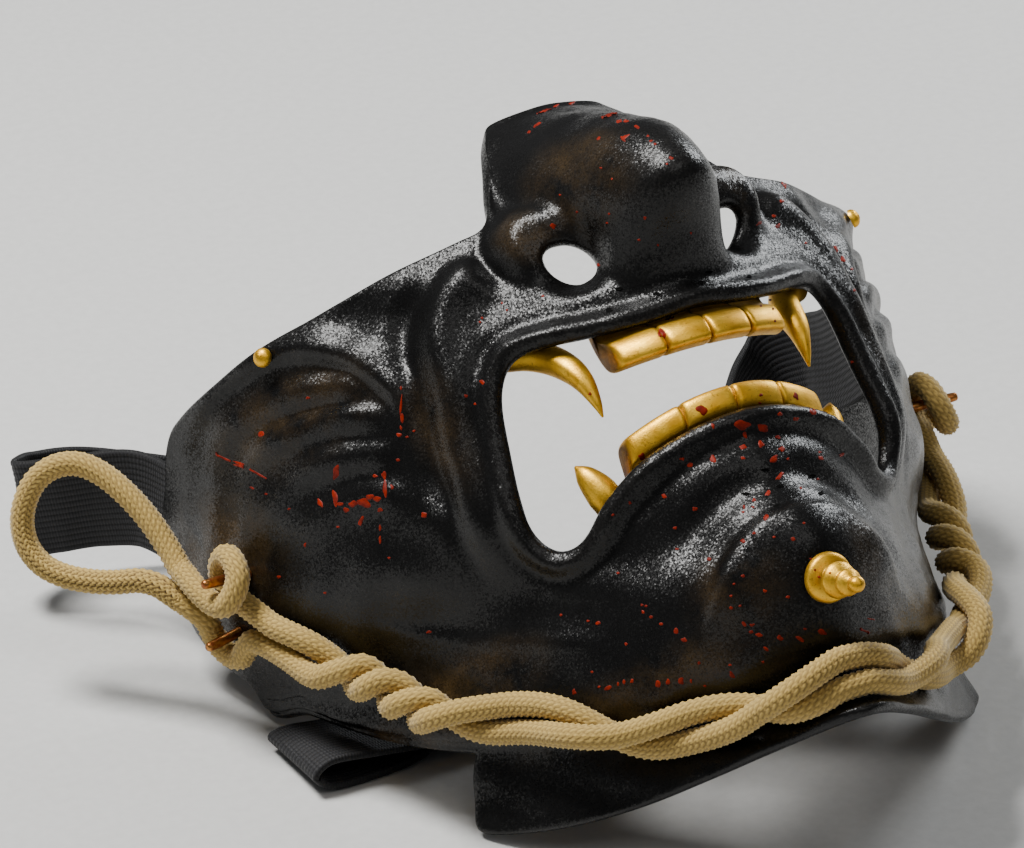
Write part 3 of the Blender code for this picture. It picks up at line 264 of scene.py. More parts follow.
# Shallow lines cut and raised over the broad forms, drawn as the folds are
FINE_FOLDS = (
    Fold("wrinkle line 1", -0.55, 1.5, 2.2, 0.2, 0.5,
         ((80, 79), (92, 84), (106, 86.5), (120, 85), (132, 79))),
    Fold("wrinkle line 2", -0.55, 1.5, 2.2, 0.2, 0.5,
         ((80, 70), (92, 75), (106, 77.5), (118, 76), (129, 70))),
    Fold("wrinkle line 3", -0.5, 1.5, 2.2, 0.2, 0.5,
         ((81, 61.5), (92, 65.5), (104, 67), (114, 65), (124, 60))),
    Fold("eye line 1", 0.6, 1.6, 2.4, 0.25, 0.4, ((88, 98), (100, 95.5), (112, 95), (124, 92))),
    Fold("eye line 2", 0.5, 1.6, 2.4, 0.25, 0.4, ((92, 101), (104, 100), (116, 98.5), (126, 95))),
    Fold("band line", -0.5, 1.4, 1.8, 0.15, 0.3,
         ((40, 92), (49, 89), (55, 80), (58.5, 68), (60.5, 56), (62, 44))),
    Fold("band edge", 0.5, 1.2, 2.4, 0.15, 0.3,
         ((58, 97), (65, 88), (69, 75), (71.5, 60), (73, 46), (74, 34))),
    Fold("nose fold 1", 0.5, 1.4, 2.0, 0.0, 0.3, ((0, 113.5), (9, 113.5), (18, 114), (26, 116))),
    Fold("nose fold 2", 0.5, 1.4, 2.0, 0.0, 0.3, ((0, 120.5), (9, 120.5), (17, 120.3), (24, 120))),
    Fold("wing groove", -0.9, 1.6, 2.2, 0.2, 0.3,
         ((33, 90.5), (37.5, 95.5), (38, 101.5), (34.5, 107.5), (28, 110.5))),
    Fold("chin line", -0.45, 1.4, 2.0, 0.0, 0.4, ((0, 20.5), (10, 19), (20, 14), (28, 6))),
    Fold("jaw line", 0.5, 2.0, 4.0, 0.3, 0.3, ((52, 6), (68, 12), (84, 20), (100, 30), (114, 38))),
    Fold("lower lip line", -0.5, 1.5, 2.0, 0.1, 0.3, ((0, 36.5), (13, 35.5), (26, 32.5), (38, 27), (48, 20))),
)
LIP_LINE_AT, LIP_LINE_WIDE, LIP_LINE_DEEP = 6.6, 1.5, 0.45
# A hand-worked unevenness, as waves of so many radians to a millimetre
HAND_WAVES, HAND_WAVE_HEIGHT, HAND_WAVE_RADIANS, HAND_WAVE_SEED = 9, 0.09, (0.08, 0.45), 7

# The camera, fitted to the photo: how far round and up it stands, how far the picture's middle lies from the
# chin peg's foot in millimetres, and the focal length in pixels of a picture 1024 wide and 848 high
CAMERA_TURN, CAMERA_RISE = 28.0, 27.4
CAMERA_RIGHT, CAMERA_UP, CAMERA_BACK = -69.8, 34.0, 1500.0
FOCAL_PIXELS, PICTURE_WIDE, PICTURE_HIGH, SENSOR_MM = 6750.0, 1024, 848, 36.0

# Drops of red paint by their places in the picture, with their length, width and turn there, in pixels and
# degrees. Values left out at the end of a row are 4, 3 and 0.
Drop = namedtuple("Drop", "photo_x photo_y long wide turn", defaults=(4, 3, 0))
SPATTER = [Drop(*row) for row in (
    (261, 434, 8, 7), (223, 458, 26, 3, 22), (240, 465, 30, 6, 20), (258, 474, 26, 3, 28),
    (252, 488, 6, 3, 30), (266, 494), (320, 503, 11, 6, 60), (336, 472, 18, 8, 100), (335, 498, 19, 7, 80),
    (340, 504, 8, 5), (346, 510, 8, 6, 50), (353, 504, 11, 8), (364, 503, 16, 12, 20), (370, 497, 11, 7),
    (377, 499, 10, 7), (361, 521, 13, 5, 110), (380, 510, 7, 5), (384, 475, 9, 6, 80), (385, 489, 19, 6, 90),
    (375, 476, 6, 4), (392, 487, 6, 4, 60), (399, 435, 7, 5), (407, 437), (401, 428, 6, 3, 80),
    (401, 405, 24, 3, 95), (402, 418, 14, 4, 85), (401, 388, 5, 3, 90), (398, 460, 5, 4), (414, 431),
    (424, 515, 8, 7), (380, 528, 8, 3, 90), (380, 540, 10, 3, 90), (389, 558), (305, 545, 6, 3, 110),
    (279, 577, 5, 4), (325, 593), (289, 509), (338, 527), (466, 396, 5, 4), (429, 632, 6, 4),
    (308, 398, 5, 4), (544, 111, 20, 4, 150), (572, 103, 9, 3, 160), (535, 126, 5, 3, 140),
    (609, 115, 20, 4, 150), (619, 121, 8, 5, 150), (626, 121, 7, 4), (637, 127, 8, 4, 30),
    (623, 139, 9, 4, 40), (598, 139), (651, 141, 5), (655, 144), (648, 136), (667, 164, 3), (601, 168),
    (612, 179, 3), (645, 218, 4, 4), (598, 265, 5, 4), (607, 223, 3), (639, 240), (658, 245, 3),
    (691, 233, 3), (609, 214, 3), (553, 226, 9, 6, 30), (577, 212), (560, 195, 3), (543, 296), (502, 303, 3),
    (482, 318), (463, 239), (670, 319, 13, 9, 100), (662, 334, 13, 11, 60), (770, 300), (773, 309, 3),
    (775, 321, 3), (761, 306, 3), (590, 394, 4, 4), (702, 410, 14, 12, 30), (642, 457, 10, 8, 40),
    (761, 395, 5, 4), (760, 403), (796, 396, 9, 6, 60), (812, 389, 5, 4), (482, 382, 7, 5, 50), (475, 404),
    (613, 515), (630, 503, 4, 4), (742, 425, 20, 12, 5), (763, 428, 13, 10, 20), (713, 426, 7, 4, 80),
    (813, 411, 11, 9, 30), (796, 419, 7, 5), (780, 414, 6, 5), (745, 435, 9, 5, 80), (778, 437, 6, 5),
    (743, 447, 9, 6), (761, 444, 9, 7, 50), (782, 449, 8, 6), (713, 459, 10, 7, 70), (690, 465, 8, 6),
    (682, 459, 6, 4), (743, 458, 6, 4), (774, 459, 13, 7, 140), (780, 476, 13, 5, 130),
    (768, 493, 9, 5, 135), (754, 500, 5, 4), (766, 517, 10, 5, 120), (821, 458, 7, 5, 35),
    (841, 455, 9, 4, 155), (818, 479), (801, 488), (664, 496, 7, 5, 40), (695, 509, 7, 5), (675, 528, 5, 4),
    (743, 541, 6, 5), (754, 533, 4, 4), (793, 539, 6, 5), (774, 537), (804, 523), (709, 559, 6, 4),
    (677, 549, 5), (743, 576, 5, 4), (765, 591, 5, 4), (731, 596), (731, 608, 5, 4), (740, 606),
    (788, 597, 5, 4), (734, 584, 3), (618, 573), (642, 605), (651, 617, 5, 4), (561, 615), (811, 559, 3),
    (819, 577), (815, 570, 3), (830, 573, 3), (784, 184, 14, 8, 100), (782, 201, 6, 4), (774, 216, 5, 4),
    (778, 226, 7, 5, 140), (760, 223, 10, 4, 150), (806, 243), (836, 249, 9, 5, 70), (843, 259, 9, 5, 60),
    (852, 269), (855, 290, 5, 4), (852, 362), (671, 158, 6, 4), (538, 124, 9, 3, 145),
    (613, 113, 14, 6, 140), (625, 137, 13, 4, 150), (599, 138, 4, 4), (529, 132, 5, 3, 140),
    (556, 106, 8, 3, 150), (480, 322, 3), (507, 310, 3), (598, 623, 6, 5), (588, 621), (646, 606),
    (643, 612, 4, 4), (661, 624, 5, 4), (676, 631, 8, 6, 90), (684, 640, 7, 6), (626, 644, 4, 4),
    (699, 663, 4, 4), (592, 672), (574, 692, 7, 5, 90), (608, 688, 9, 6, 160), (599, 687),
    (618, 684, 5, 3, 90), (624, 682, 6, 4, 90), (632, 681, 6, 4, 90), (658, 684, 9, 7, 90),
    (668, 682, 8, 5, 90), (681, 681, 9, 7, 90), (691, 681, 5, 3, 90), (705, 686), (730, 665),
    (732, 675, 10, 5, 55), (744, 624, 7, 5, 60), (752, 625, 6, 4), (751, 632, 6, 4), (759, 635, 9, 5, 15),
    (780, 638, 8, 6, 40), (766, 649, 8, 4, 40), (763, 662), (800, 639, 14, 4, 35), (822, 632, 12, 6, 30),
    (805, 629), (865, 631, 31, 3, 18), (871, 619, 10, 2, 15), (744, 507, 6, 3, 90), (743, 512), (753, 507),
    (788, 459), (820, 452),
)]
# Small sockets on the upper lip and the chin, given in the same way, drawn as near-black spots of painted
# shade
PITS = [Drop(*row) for row in (
    (619, 289, 9, 5), (657, 294, 9, 5), (609, 310, 9, 5), (709, 272, 8, 4), (701, 283, 8, 4),
    (749, 277, 7, 4), (746, 494, 11, 4), (765, 470, 11, 4), (780, 486, 9, 4), (812, 476, 10, 5),
    (778, 506, 11, 4), (822, 493, 9, 5),
)]
# The shape of a spot, in metres: its middle's height, then each ring's share of its radius and height
PIT_MIDDLE, PIT_RINGS = 0.00001, ((0.5, 0.00003), (0.78, 0.00022), (1.0, -0.00004))
DROP_MIDDLE, DROP_RINGS = 0.00009, ((0.45, 0.0001), (0.8, 0.00007), (1.0, -0.00003))
DROP_SIDES, DROP_SIZE, DROP_WAVES, DROP_UNEVEN, DROP_SEED = 20, 0.85, 3, 0.16, 11
# A ring's point that lies this much nearer or farther than the spot's middle is drawn level with it instead
DROP_STEP = 0.002

# The lamps, by their distances from the mask to the camera's right, upwards and towards the camera, in metres
Lamp = namedtuple("Lamp", "name right up back wide high watts colour")
LAMPS = (
    Lamp("key softbox", -0.55, 1.15, -0.15, 0.40, 0.40, 27.0, (1.0, 0.99, 0.97)),
    Lamp("front fill", 0.5, 0.9, 1.0, 0.9, 0.7, 4.0, (1.0, 0.98, 0.95)),
    Lamp("back rim", 0.6, 0.8, -0.9, 0.45, 0.25, 6.0, (0.95, 0.98, 1.0)),
)
LAMP_AIM = (0.0, 0.0, 0.06)
FLOOR_HALF = 4.0
WORLD_COLOUR, WORLD_STRENGTH = (0.95, 0.97, 1.0, 1.0), 0.12
CAMERA_CLIP = 50.0


def ease(value, low, high):
    share = np.clip((value - low) / (high - low), 0.0, 1.0)
    return share * share * (3.0 - 2.0 * share)


def unit(vectors):
    return vectors / np.maximum(np.linalg.norm(vectors, axis=-1, keepdims=True), LEAST_LENGTH)


def square_to(axis, vectors):
    """The vectors without their part along the axis, at length 1."""
    axis = unit(axis)
    return unit(vectors - axis * (vectors * axis).sum(-1, keepdims=True))


def length_along(path):
    """The distance along a path at each of its points."""
    return np.concatenate([[0.0], np.cumsum(np.linalg.norm(np.diff(path, axis=0), axis=1))])


def spaced_out(path, step, values):
    """Even distances along a path, and the values there, which are given at the path's points."""
    run = length_along(path)
    places = np.linspace(0.0, run[-1], int(run[-1] / step) + 1)
    return places, np.stack([np.interp(places, run, column) for column in values.T], -1)


def smooth_line(points, per_span):
    """A smooth curve through the points, as an array of positions."""
    knots = np.array(points, float)
    padded = np.vstack([2 * knots[0] - knots[1], knots, 2 * knots[-1] - knots[-2]])
    t = np.arange(per_span)[:, None] / per_span
    spans = [0.5 * (2 * here + (there - before) * t
                    + (2 * before - 5 * here + 4 * there - after) * t ** 2
                    + (3 * here - before - 3 * there + after) * t ** 3)
             for before, here, there, after in zip(padded, padded[1:], padded[2:], padded[3:])]
    return np.vstack([*spans, knots[-1]])


def cut_corners(points, closed):
    """An outline with its corners cut. An open one keeps its ends."""
    points = np.array(points, float)
    for _ in range(CORNER_CUTS):
        after = np.roll(points, -1, axis=0)
        cut = np.stack([points * (1 - CORNER_CUT) + after * CORNER_CUT,
                        points * CORNER_CUT + after * (1 - CORNER_CUT)], 1)
        if closed:
            points = cut.reshape(-1, 2)
        else:
            points = np.concatenate([points[:1], cut[:-1].reshape(-1, 2), points[-1:]])
    return points


def level_line(section, share):
    """x, w, u and across along one section, at shares of its length from the middle to the rear edge."""
    t = np.linspace(0.0, 1.0, LINE_SAMPLES)
    first, second, third, last = (1 - t) ** 3, 3 * (1 - t) ** 2 * t, 3 * (1 - t) * t ** 2, t ** 3
    x = second * section.run + third * section.side_x + last * section.rear_x
    w = (first + second) * section.front + third * section.side + last * section.rear
    run = length_along(np.stack([x, w], -1))
    across = share * run[-1]
    cheek, rear = section.up_cheek - section.up_front, section.up_rear - section.up_front
    u = section.up_front + (8 * cheek - rear) * share ** 2 + (2 * rear - 8 * cheek) * share ** 3
    return np.stack([np.interp(across, run, x), np.interp(across, run, w), u, across], -1)


def between_sections(down, share):
    """The smooth surface through the sections, one row for each distance down."""
    knots = np.array([section.down for section in SECTIONS], float)
    lines = np.stack([level_line(section, share) for section in SECTIONS])
    slopes = np.gradient(lines, knots, axis=0)
    index = np.clip(np.searchsorted(knots, down, side="right") - 1, 0, len(knots) - 2)
    span = (knots[index + 1] - knots[index])[:, None, None]
    t = (down - knots[index])[:, None, None] / span
    made = (2 * t ** 3 - 3 * t ** 2 + 1) * lines[index] + (t ** 3 - 2 * t ** 2 + t) * span * slopes[index]
    made += (3 * t ** 2 - 2 * t ** 3) * lines[index + 1] + (t ** 3 - t ** 2) * span * slopes[index + 1]
    # The bridge of the nose stands above and behind the cheeks' top edge, which drops at its rear corners
    # The jaw's rear corners reach down to the floor, and leave a low gap between them and the flange.
    across, down = made[..., ACROSS], down[:, None]
    made[..., UP] += NOSE_RISE * (1 - ease(across, *RISE_ACROSS)) * (1 - ease(down, *RISE_DOWN))
    made[..., UP] -= REAR_DROP * ease(share, *REAR_SHARE) * (1 - ease(down, *REAR_DOWN))
    made[..., UP] -= CORNER_DROP * ease(share, *CORNER_SHARE) * ease(down, *CORNER_DOWN)
    made[..., 1] -= BRIDGE_BACK * (1 - ease(across, *BACK_ACROSS)) * (1 - ease(down, *BACK_DOWN))
    return made


def sample(grid, row, column):
    """The grid's values between its points."""
    low_row = np.clip(row.astype(int), 0, grid.shape[0] - 2)
    low_column = np.clip(column.astype(int), 0, grid.shape[1] - 2)
    part_row = (row - low_row)[..., None]
    part_column = (column - low_column)[..., None]
    upper, lower = (grid[row_at, low_column] * (1 - part_column) + grid[row_at, low_column + 1] * part_column
                    for row_at in (low_row, low_row + 1))
    return upper * (1 - part_row) + lower * part_row


def to_line(place, line):
    """Distance to a line on the unrolled plate, the share of its length there, and the side, 1 if left."""
    across, up = place[..., ACROSS], place[..., UP]
    nearest = np.full(across.shape, np.inf)
    share, side = np.zeros(across.shape), np.ones(across.shape)
    for index, ((start_a, start_u), (end_a, end_u)) in enumerate(zip(line, line[1:])):
        run_a, run_u = end_a - start_a, end_u - start_u
        t = ((across - start_a) * run_a + (up - start_u) * run_u) / (run_a ** 2 + run_u ** 2)
        t = np.clip(t, 0.0, 1.0)
        off_a, off_u = across - start_a - t * run_a, up - start_u - t * run_u
        distance = np.hypot(off_a, off_u)
        closer = distance < nearest
        nearest = np.where(closer, distance, nearest)
        share = np.where(closer, (index + t) / (len(line) - 1), share)
        side = np.where(closer, np.where(run_a * off_u - run_u * off_a >= 0, 1.0, -1.0), side)
    return nearest, share, side


def outside_mouth(place):
    """Distance from the mouth's outline, negative inside the opening."""
    distance, _, side = to_line(place, smooth_line(MOUTH, OUTLINE_STEPS))
    return distance * side


def outside_nostril(place):
    turn = radians(NOSTRIL_TILT)
    off_a, off_u = place[..., ACROSS] - NOSTRIL_AT[0], place[..., UP] - NOSTRIL_AT[1]
    along = (off_a * cos(turn) + off_u * sin(turn)) / NOSTRIL_RADII[0]
    over = (off_u * cos(turn) - off_a * sin(turn)) / NOSTRIL_RADII[1]
    return (np.hypot(along, over) - 1.0) * min(NOSTRIL_RADII)


def inside_flange_end(place):
    """Distance from the straight end of the throat flange, negative beyond it, and above the groove."""
    share = np.clip((place[..., DOWN] - GROOVE_DOWN) / (SECTIONS[-1].down - GROOVE_DOWN), 0.0, 1.0)
    half = FLANGE_ROOT_HALF + (FLANGE_EDGE_HALF - FLANGE_ROOT_HALF) * share
    return half - place[..., 0]


def blend_up(first, second, soft):
    """The higher of two reliefs, with a small fillet where they meet."""
    higher = np.maximum(first, second)
    fillet = np.maximum(0.0, soft - np.abs(first - second)) ** 2 / (4 * soft)
    return higher + fillet * np.clip(higher / soft, 0.0, 1.0)


def nose_relief(across, up):
    ridge = np.interp(up, NOSE_UP, NOSE_OUT)
    half = np.interp(up, NOSE_UP, NOSE_HALF)
    fall = np.hypot(across / half, NOSE_ROUND) - NOSE_ROUND
    body = ridge * np.maximum(1 - fall / (np.hypot(1.0, NOSE_ROUND) - NOSE_ROUND), 0.0)
    reach = np.hypot((across - WING_AT[0]) / WING_RADII[0], (up - WING_AT[1]) / WING_RADII[1])
    wing = WING_OUT * ease(1 - reach, 0.0, WING_SLOPE)
    off = np.hypot(across - NOSTRIL_AT[0], up - NOSTRIL_AT[1])
    return blend_up(body, wing, WING_BLEND) - POCKET_DEPTH * (1 - ease(off, 0.0, POCKET_RADIUS))


def folds_relief(place, folds):
    out = 0.0
    for fold in folds:
        distance, share, side = to_line(place, smooth_line(fold.stroke, STROKE_STEPS))
        width = np.where(side > 0, fold.left, fold.right)
        swell = np.clip(1 - (distance / width) ** 2, 0.0, 1.0) ** 2
        start = ease(share, 0.0, fold.fade_in) if fold.fade_in else 1.0
        out = out + fold.height * swell * start * (1 - ease(share, 1 - fold.fade_out, 1.0))
    return out


def relief(place):
    """How far the outer face stands out from the plain surface."""
    from_crest = outside_mouth(place) - LIP_CREST
    from_crest = from_crest / np.where(from_crest > 0, LIP_OUTER, LIP_INNER)
    lip = LIP_HEIGHT * np.clip(1 - from_crest ** 2, 0.0, 1.0) ** 1.5
    return nose_relief(place[..., ACROSS], place[..., UP]) + folds_relief(place, FOLDS) + lip


def fine_relief(place):
    """Shallow lines and a hand-worked unevenness on top of the broad relief."""
    off_line = (outside_mouth(place) - LIP_LINE_AT) / LIP_LINE_WIDE
    out = folds_relief(place, FINE_FOLDS) - LIP_LINE_DEEP * np.clip(1 - off_line ** 2, 0.0, 1.0) ** 2
    seeded = np.random.default_rng(HAND_WAVE_SEED)
    for _ in range(HAND_WAVES):
        along, over = seeded.uniform(*HAND_WAVE_RADIANS), seeded.uniform(*HAND_WAVE_RADIANS)
        start = seeded.uniform(0, 2 * pi)
        wave = along * place[..., ACROSS] + over * place[..., UP] * seeded.choice((-1, 1)) + start
        out = out + HAND_WAVE_HEIGHT * np.sin(wave)
    return out


def plate_grid(step):
    """Rows and columns of the half plate: points, outward directions and unrolled places."""
    longest = max(level_line(section, np.array([1.0]))[0, 3] for section in SECTIONS)
    share = np.linspace(0.0, 1.0, int(round(longest / step)) + 1)
    down = np.linspace(0.0, SECTIONS[-1].down, int(round(SECTIONS[-1].down / step)) + 1)
    surface = between_sections(down, share)
    normal = unit(np.cross(*(np.gradient(surface[..., :3], axis=axis) for axis in (1, 0))))
    normal[:, 0, 0] = 0.0
    downs = np.repeat(down[:, None, None], len(share), axis=1)
    return np.concatenate([surface, downs, unit(normal)], -1)


def cells_about(cells):
    """How many of the marked cells meet at each grid point."""
    height, width = cells.shape
    about = np.zeros((height + 1, width + 1), int)
    for row in (0, 1):
        for column in (0, 1):
            about[row:row + height, column:column + width] += cells
    return about


def cells_round(cut):
    """The grid points with cells of both kinds about them."""
    about = cells_about(cut)
    return (about > 0) & (about < cells_about(np.ones(cut.shape, int)))


def snap_to_outline(grid, row, column, cut, measure, by_rows=True):
    """Moves the points round a cut onto its outline."""
    edge = cells_round(cut)
    for _ in range(SNAP_ROUNDS):
        value = measure(sample(grid, row, column))
        next_row = measure(sample(grid, row + SNAP_STEP, column)) if by_rows else value
        slope_row = (next_row - value) / SNAP_STEP
        slope_column = (measure(sample(grid, row, column + SNAP_STEP)) - value) / SNAP_STEP
        pull = value * edge / np.maximum(slope_row ** 2 + slope_column ** 2, LEAST_SLOPE)
        row = row - np.clip(pull * slope_row, -SNAP_LIMIT, SNAP_LIMIT)
        column = np.maximum(column - np.clip(pull * slope_column, -SNAP_LIMIT, SNAP_LIMIT), 0.0)
        column[:, 0] = 0.0
    return row, column


def soften(values):
    """A light blur along rows and columns, so that narrow folds don't bead between the grid's points."""
    # Before the first column comes the second one again, as its mirror image
    for axis, mirror_at in ((0, 0), (1, 1)):
        before = np.concatenate([np.take(values, [mirror_at], axis), np.delete(values, -1, axis)], axis)
        after = np.concatenate([np.delete(values, 0, axis), np.take(values, [-1], axis)], axis)
        values = values / 2 + (before + after) / 4
    return values


def trimmed(grid):
    """What the plate holds at grid points moved onto its openings' outlines, and which cells are kept."""
    row, column = np.meshgrid(*(np.arange(float(count)) for count in grid.shape[:2]), indexing="ij")
    middle = sample(grid, row[:-1, :-1] + 0.5, column[:-1, :-1] + 0.5)
    in_mouth, in_nostril = outside_mouth(middle) < 0, outside_nostril(middle) < 0
    off_flange = (middle[..., DOWN] > GROOVE_DOWN) & (inside_flange_end(middle) < 0)
    row, column = snap_to_outline(grid, row, column, in_mouth, outside_mouth)
    row, column = snap_to_outline(grid, row, column, in_nostril, outside_nostril)
    first = int(np.argmax(middle[:, 0, DOWN] > GROOVE_DOWN))
    below = off_flange[first:]
    _, ends = snap_to_outline(grid, row[first:], column[first:], below, inside_flange_end, False)
    column[first + 1:] = ends[1:]
    column[first] = np.where(cells_round(below)[0], ends[0], column[first])
    return sample(grid, row, column), ~(in_mouth | in_nostril | off_flange)


def dusting(place):
    """How dusty each place is, from the strongest oval that it lies in."""
    strengths = []
    for spot in DUSTED:
        off_a, off_u = place[..., ACROSS] - spot.across, place[..., UP] - spot.up
        reach = np.hypot(off_a / spot.wide, off_u / spot.tall)
        strengths.append(spot.strength * (1 - ease(reach, DUST_CORE, 1.0)))
    return np.max(strengths, axis=0)


def plate_shell():
    """Points, faces, painted highlight and dusting of the whole plate as one closed shell with rounded edges.
    """
    place, kept = trimmed(plate_grid(PLATE_STEP))
    point, normal = place[..., :3], unit(place[..., 5:])
    out = soften(relief(place))
    slopes = [np.gradient(out, axis=axis) / np.linalg.norm(np.gradient(point, axis=axis), axis=-1)
              for axis in (0, 1)]
    thick = WALL * np.sqrt(1 + np.minimum(slopes[0] ** 2 + slopes[1] ** 2, STEEPEST))
    fine = out + soften(fine_relief(place))
    outer, inner = point + normal * fine[..., None], point + normal * (out - thick)[..., None]
    outer[:, 0, 0] = inner[:, 0, 0] = 0.0
    broad = fine
    for _ in range(CREST_BLUR):
        broad = soften(broad)
    # Crests are marked for a painted highlight
    worn = np.clip((fine - broad) / CREST_RISE, 0.0, 1.0)

    def whole(values, flip=1):
        return np.concatenate([(values * flip)[:, :0:-1], values], axis=1)

    kept = np.concatenate([kept[:, ::-1], kept], axis=1)
    return rounded_shell(whole(outer, MIRROR), whole(inner, MIRROR), whole(worn), whole(dusting(place)), kept)


def cell_corners(shape):
    """The grid points at each cell's four corners, in order round it."""
    corners = np.arange((shape[0] + 1) * (shape[1] + 1)).reshape(shape[0] + 1, shape[1] + 1)
    return corners[:-1, :-1], corners[1:, :-1], corners[1:, 1:], corners[:-1, 1:]


def open_edges(kept):
    """The two grid points of each edge between a kept cell and none, in order round the kept one."""
    height, width = kept.shape
    a, b, c, d = cell_corners(kept.shape)
    padded = np.pad(kept, 1)
    pairs = []
    for row, column, start, end in ((0, 1, a, d), (2, 1, c, b), (1, 0, b, a), (1, 2, d, c)):
        at_edge = kept & ~padded[row:row + height, column:column + width]
        pairs.append(np.stack([start[at_edge], end[at_edge]], -1))
    return np.concatenate(pairs)


def smooth_rim(values, links):
    """Evens out values along the open edges."""
    shape = values.shape
    values = values.reshape(-1, 3).copy()
    count = np.bincount(links.reshape(-1), minlength=len(values))
    on_rim = count > 0
    for _ in range(RIM_SMOOTH):
        total = np.zeros(values.shape)
        np.add.at(total, links, values[links[:, ::-1]])
        values[on_rim] = values[on_rim] / 2 + total[on_rim] / count[on_rim][:, None] / 2
    return values.reshape(shape)


def rounded_shell(outer, inner, worn, dust, kept):
    """Closes two sheets into one shell, with a half-round rim along every open edge."""
    height, width = kept.shape
    centre = (outer[:-1, :-1] + outer[1:, :-1] + outer[:-1, 1:] + outer[1:, 1:]) / 4
    away = np.zeros(outer.shape)
    for row in (0, 1):
        for column in (0, 1):
            here = np.s_[row:row + height, column:column + width]
            away[here] += kept[..., None] * (outer[here] - centre)
    away = square_to(inner - outer, away)
    links = open_edges(kept)
    outer, inner, away = (smooth_rim(values, links) for values in (outer, inner, away))
    away = unit(away)
    rim = np.isin(cells_about(kept), (1, 2, 3))
    outer, inner = (sheet - away * RIM_PULL * rim[..., None] for sheet in (outer, inner))
    sheets = [outer, inner]
    # Painted highlight: on the outer face's rim and crests, fading round the rim to none on the inner face
    painted_highlight_share, dust_share = [np.where(rim, RIM_HIGHLIGHT, worn), 0 * worn], [dust, 0 * dust]
    for turn in RIM_TURNS:
        sheets.append(outer + (inner - outer) * (1 - cos(turn)) / 2 + away * RIM_ROUND * sin(turn))
        painted_highlight_share.append(0 * worn + 1.0 - turn / pi)
        dust_share.append(dust)
    size = rim.size
    a, b, c, d = (corner[kept] for corner in cell_corners(kept.shape))
    faces = [np.stack([a, b, c, d], -1), np.stack([a, d, c, b], -1) + size]
    ladder = [0, *range(2, len(sheets)), 1]
    for upper, lower in zip(ladder, ladder[1:]):
        faces.append(np.hstack([links + upper * size, links[:, ::-1] + lower * size]))
    # Points that no face uses are left out
    used, faces = np.unique(np.concatenate(faces), return_inverse=True)
    return (np.reshape(sheets, (-1, 3))[used], faces.reshape(-1, 4).tolist(),
            {"worn": np.ravel(painted_highlight_share)[used], "dust": np.ravel(dust_share)[used]})


def loft(rings):
    """Points and faces of a closed body through rings of equal size, with flat ends."""
    rings = np.array(rings)
    count, size = rings.shape[:2]
    corners = np.arange(count * size).reshape(count, size)
    after = np.roll(corners, -1, axis=1)
    sides = np.stack([corners[:-1], after[:-1], after[1:], corners[1:]], -1).reshape(-1, 4)
    return rings.reshape(-1, 3), [*sides.tolist(), corners[0, ::-1].tolist(), corners[-1].tolist()]


def across_axes(path):
    """Two directions across a path at each of its points, carried along without twist."""
    ahead = unit(np.gradient(path, axis=0))
    first = np.cross(ahead[0], [0.0, 0.0, 1.0])
    firsts = []
    for direction in ahead:
        first = square_to(direction, first)
        firsts.append(first)
    return np.array(firsts), np.cross(ahead, firsts)


def places_at(grid, across, up):
    """What the plate holds at places given by distance across and height, read between the grid's points."""
    nearest = [((grid[..., ACROSS] - place_a) ** 2 + (grid[..., UP] - place_u) ** 2).argmin()
               for place_a, place_u in zip(across, up)]
    row, column = (index.astype(float) for index in np.unravel_index(nearest, grid.shape[:2]))
    for _ in range(SEARCH_ROUNDS):
        here = sample(grid, row, column)
        by_row = (sample(grid, row + SEARCH_STEP, column) - here) / SEARCH_STEP
        by_column = (sample(grid, row, column + SEARCH_STEP) - here) / SEARCH_STEP
        miss_a, miss_u = across - here[:, ACROSS], up - here[:, UP]
        area = by_row[:, ACROSS] * by_column[:, UP] - by_row[:, UP] * by_column[:, ACROSS]
        area = np.where(np.abs(area) < LEAST_AREA, LEAST_AREA, area)
        move_row = (miss_a * by_column[:, UP] - miss_u * by_column[:, ACROSS]) / area
        move_column = (by_row[:, ACROSS] * miss_u - by_row[:, UP] * miss_a) / area
        row = np.clip(row + np.clip(move_row, -1, 1), 0, grid.shape[0] - 1 - GRID_EDGE)
        column = np.clip(column + np.clip(move_column, -1, 1), 0, grid.shape[1] - 1 - GRID_EDGE)
    return sample(grid, row, column)


def on_plate(grid, across, up, height):
    """Points standing off the outer face, and the directions outwards. Minus across is the right side."""
    place = places_at(grid, np.abs(across), up)
    normal = unit(place[:, 5:])
    point = place[:, :3] + normal * (relief(place) + height)[:, None]
    flip = np.where(np.array(across)[:, None] < 0, MIRROR, 1.0)
    return point * flip, normal * flip


def outer_cloud(grid):
    """Points all over the outer face, on both sides."""
    half = (grid[..., :3] + grid[..., 5:] * relief(grid)[..., None]).reshape(-1, 3)
    return np.concatenate([half, half * MIRROR])


def seat_height(cloud, foot, axis, radius):
    """How far along the axis a disc of the radius clears the outer face."""
    off = cloud - foot
    along = off @ axis
    beside = np.linalg.norm(off - along[:, None] * axis, axis=1)
    return along[(beside < radius + SEAT_MARGIN) & (np.abs(along) < SEAT_REACH)].max() + GAP


def lifted(strands, normals, cloud, clear):
    """Strands pushed out together, where the plate's hollows would touch them."""
    for _ in range(LIFT_ROUNDS):
        short = np.zeros(len(normals))
        for strand in strands:
            near = np.array([np.linalg.norm(cloud - point, axis=1).min() for point in strand])
            short = np.maximum(short, clear - near)
        push = np.convolve(np.maximum(short, 0.0), LIFT_SPREAD, "same") + np.maximum(short, 0.0) / 2
        strands = [strand + normals * push[:, None] for strand in strands]
    return strands


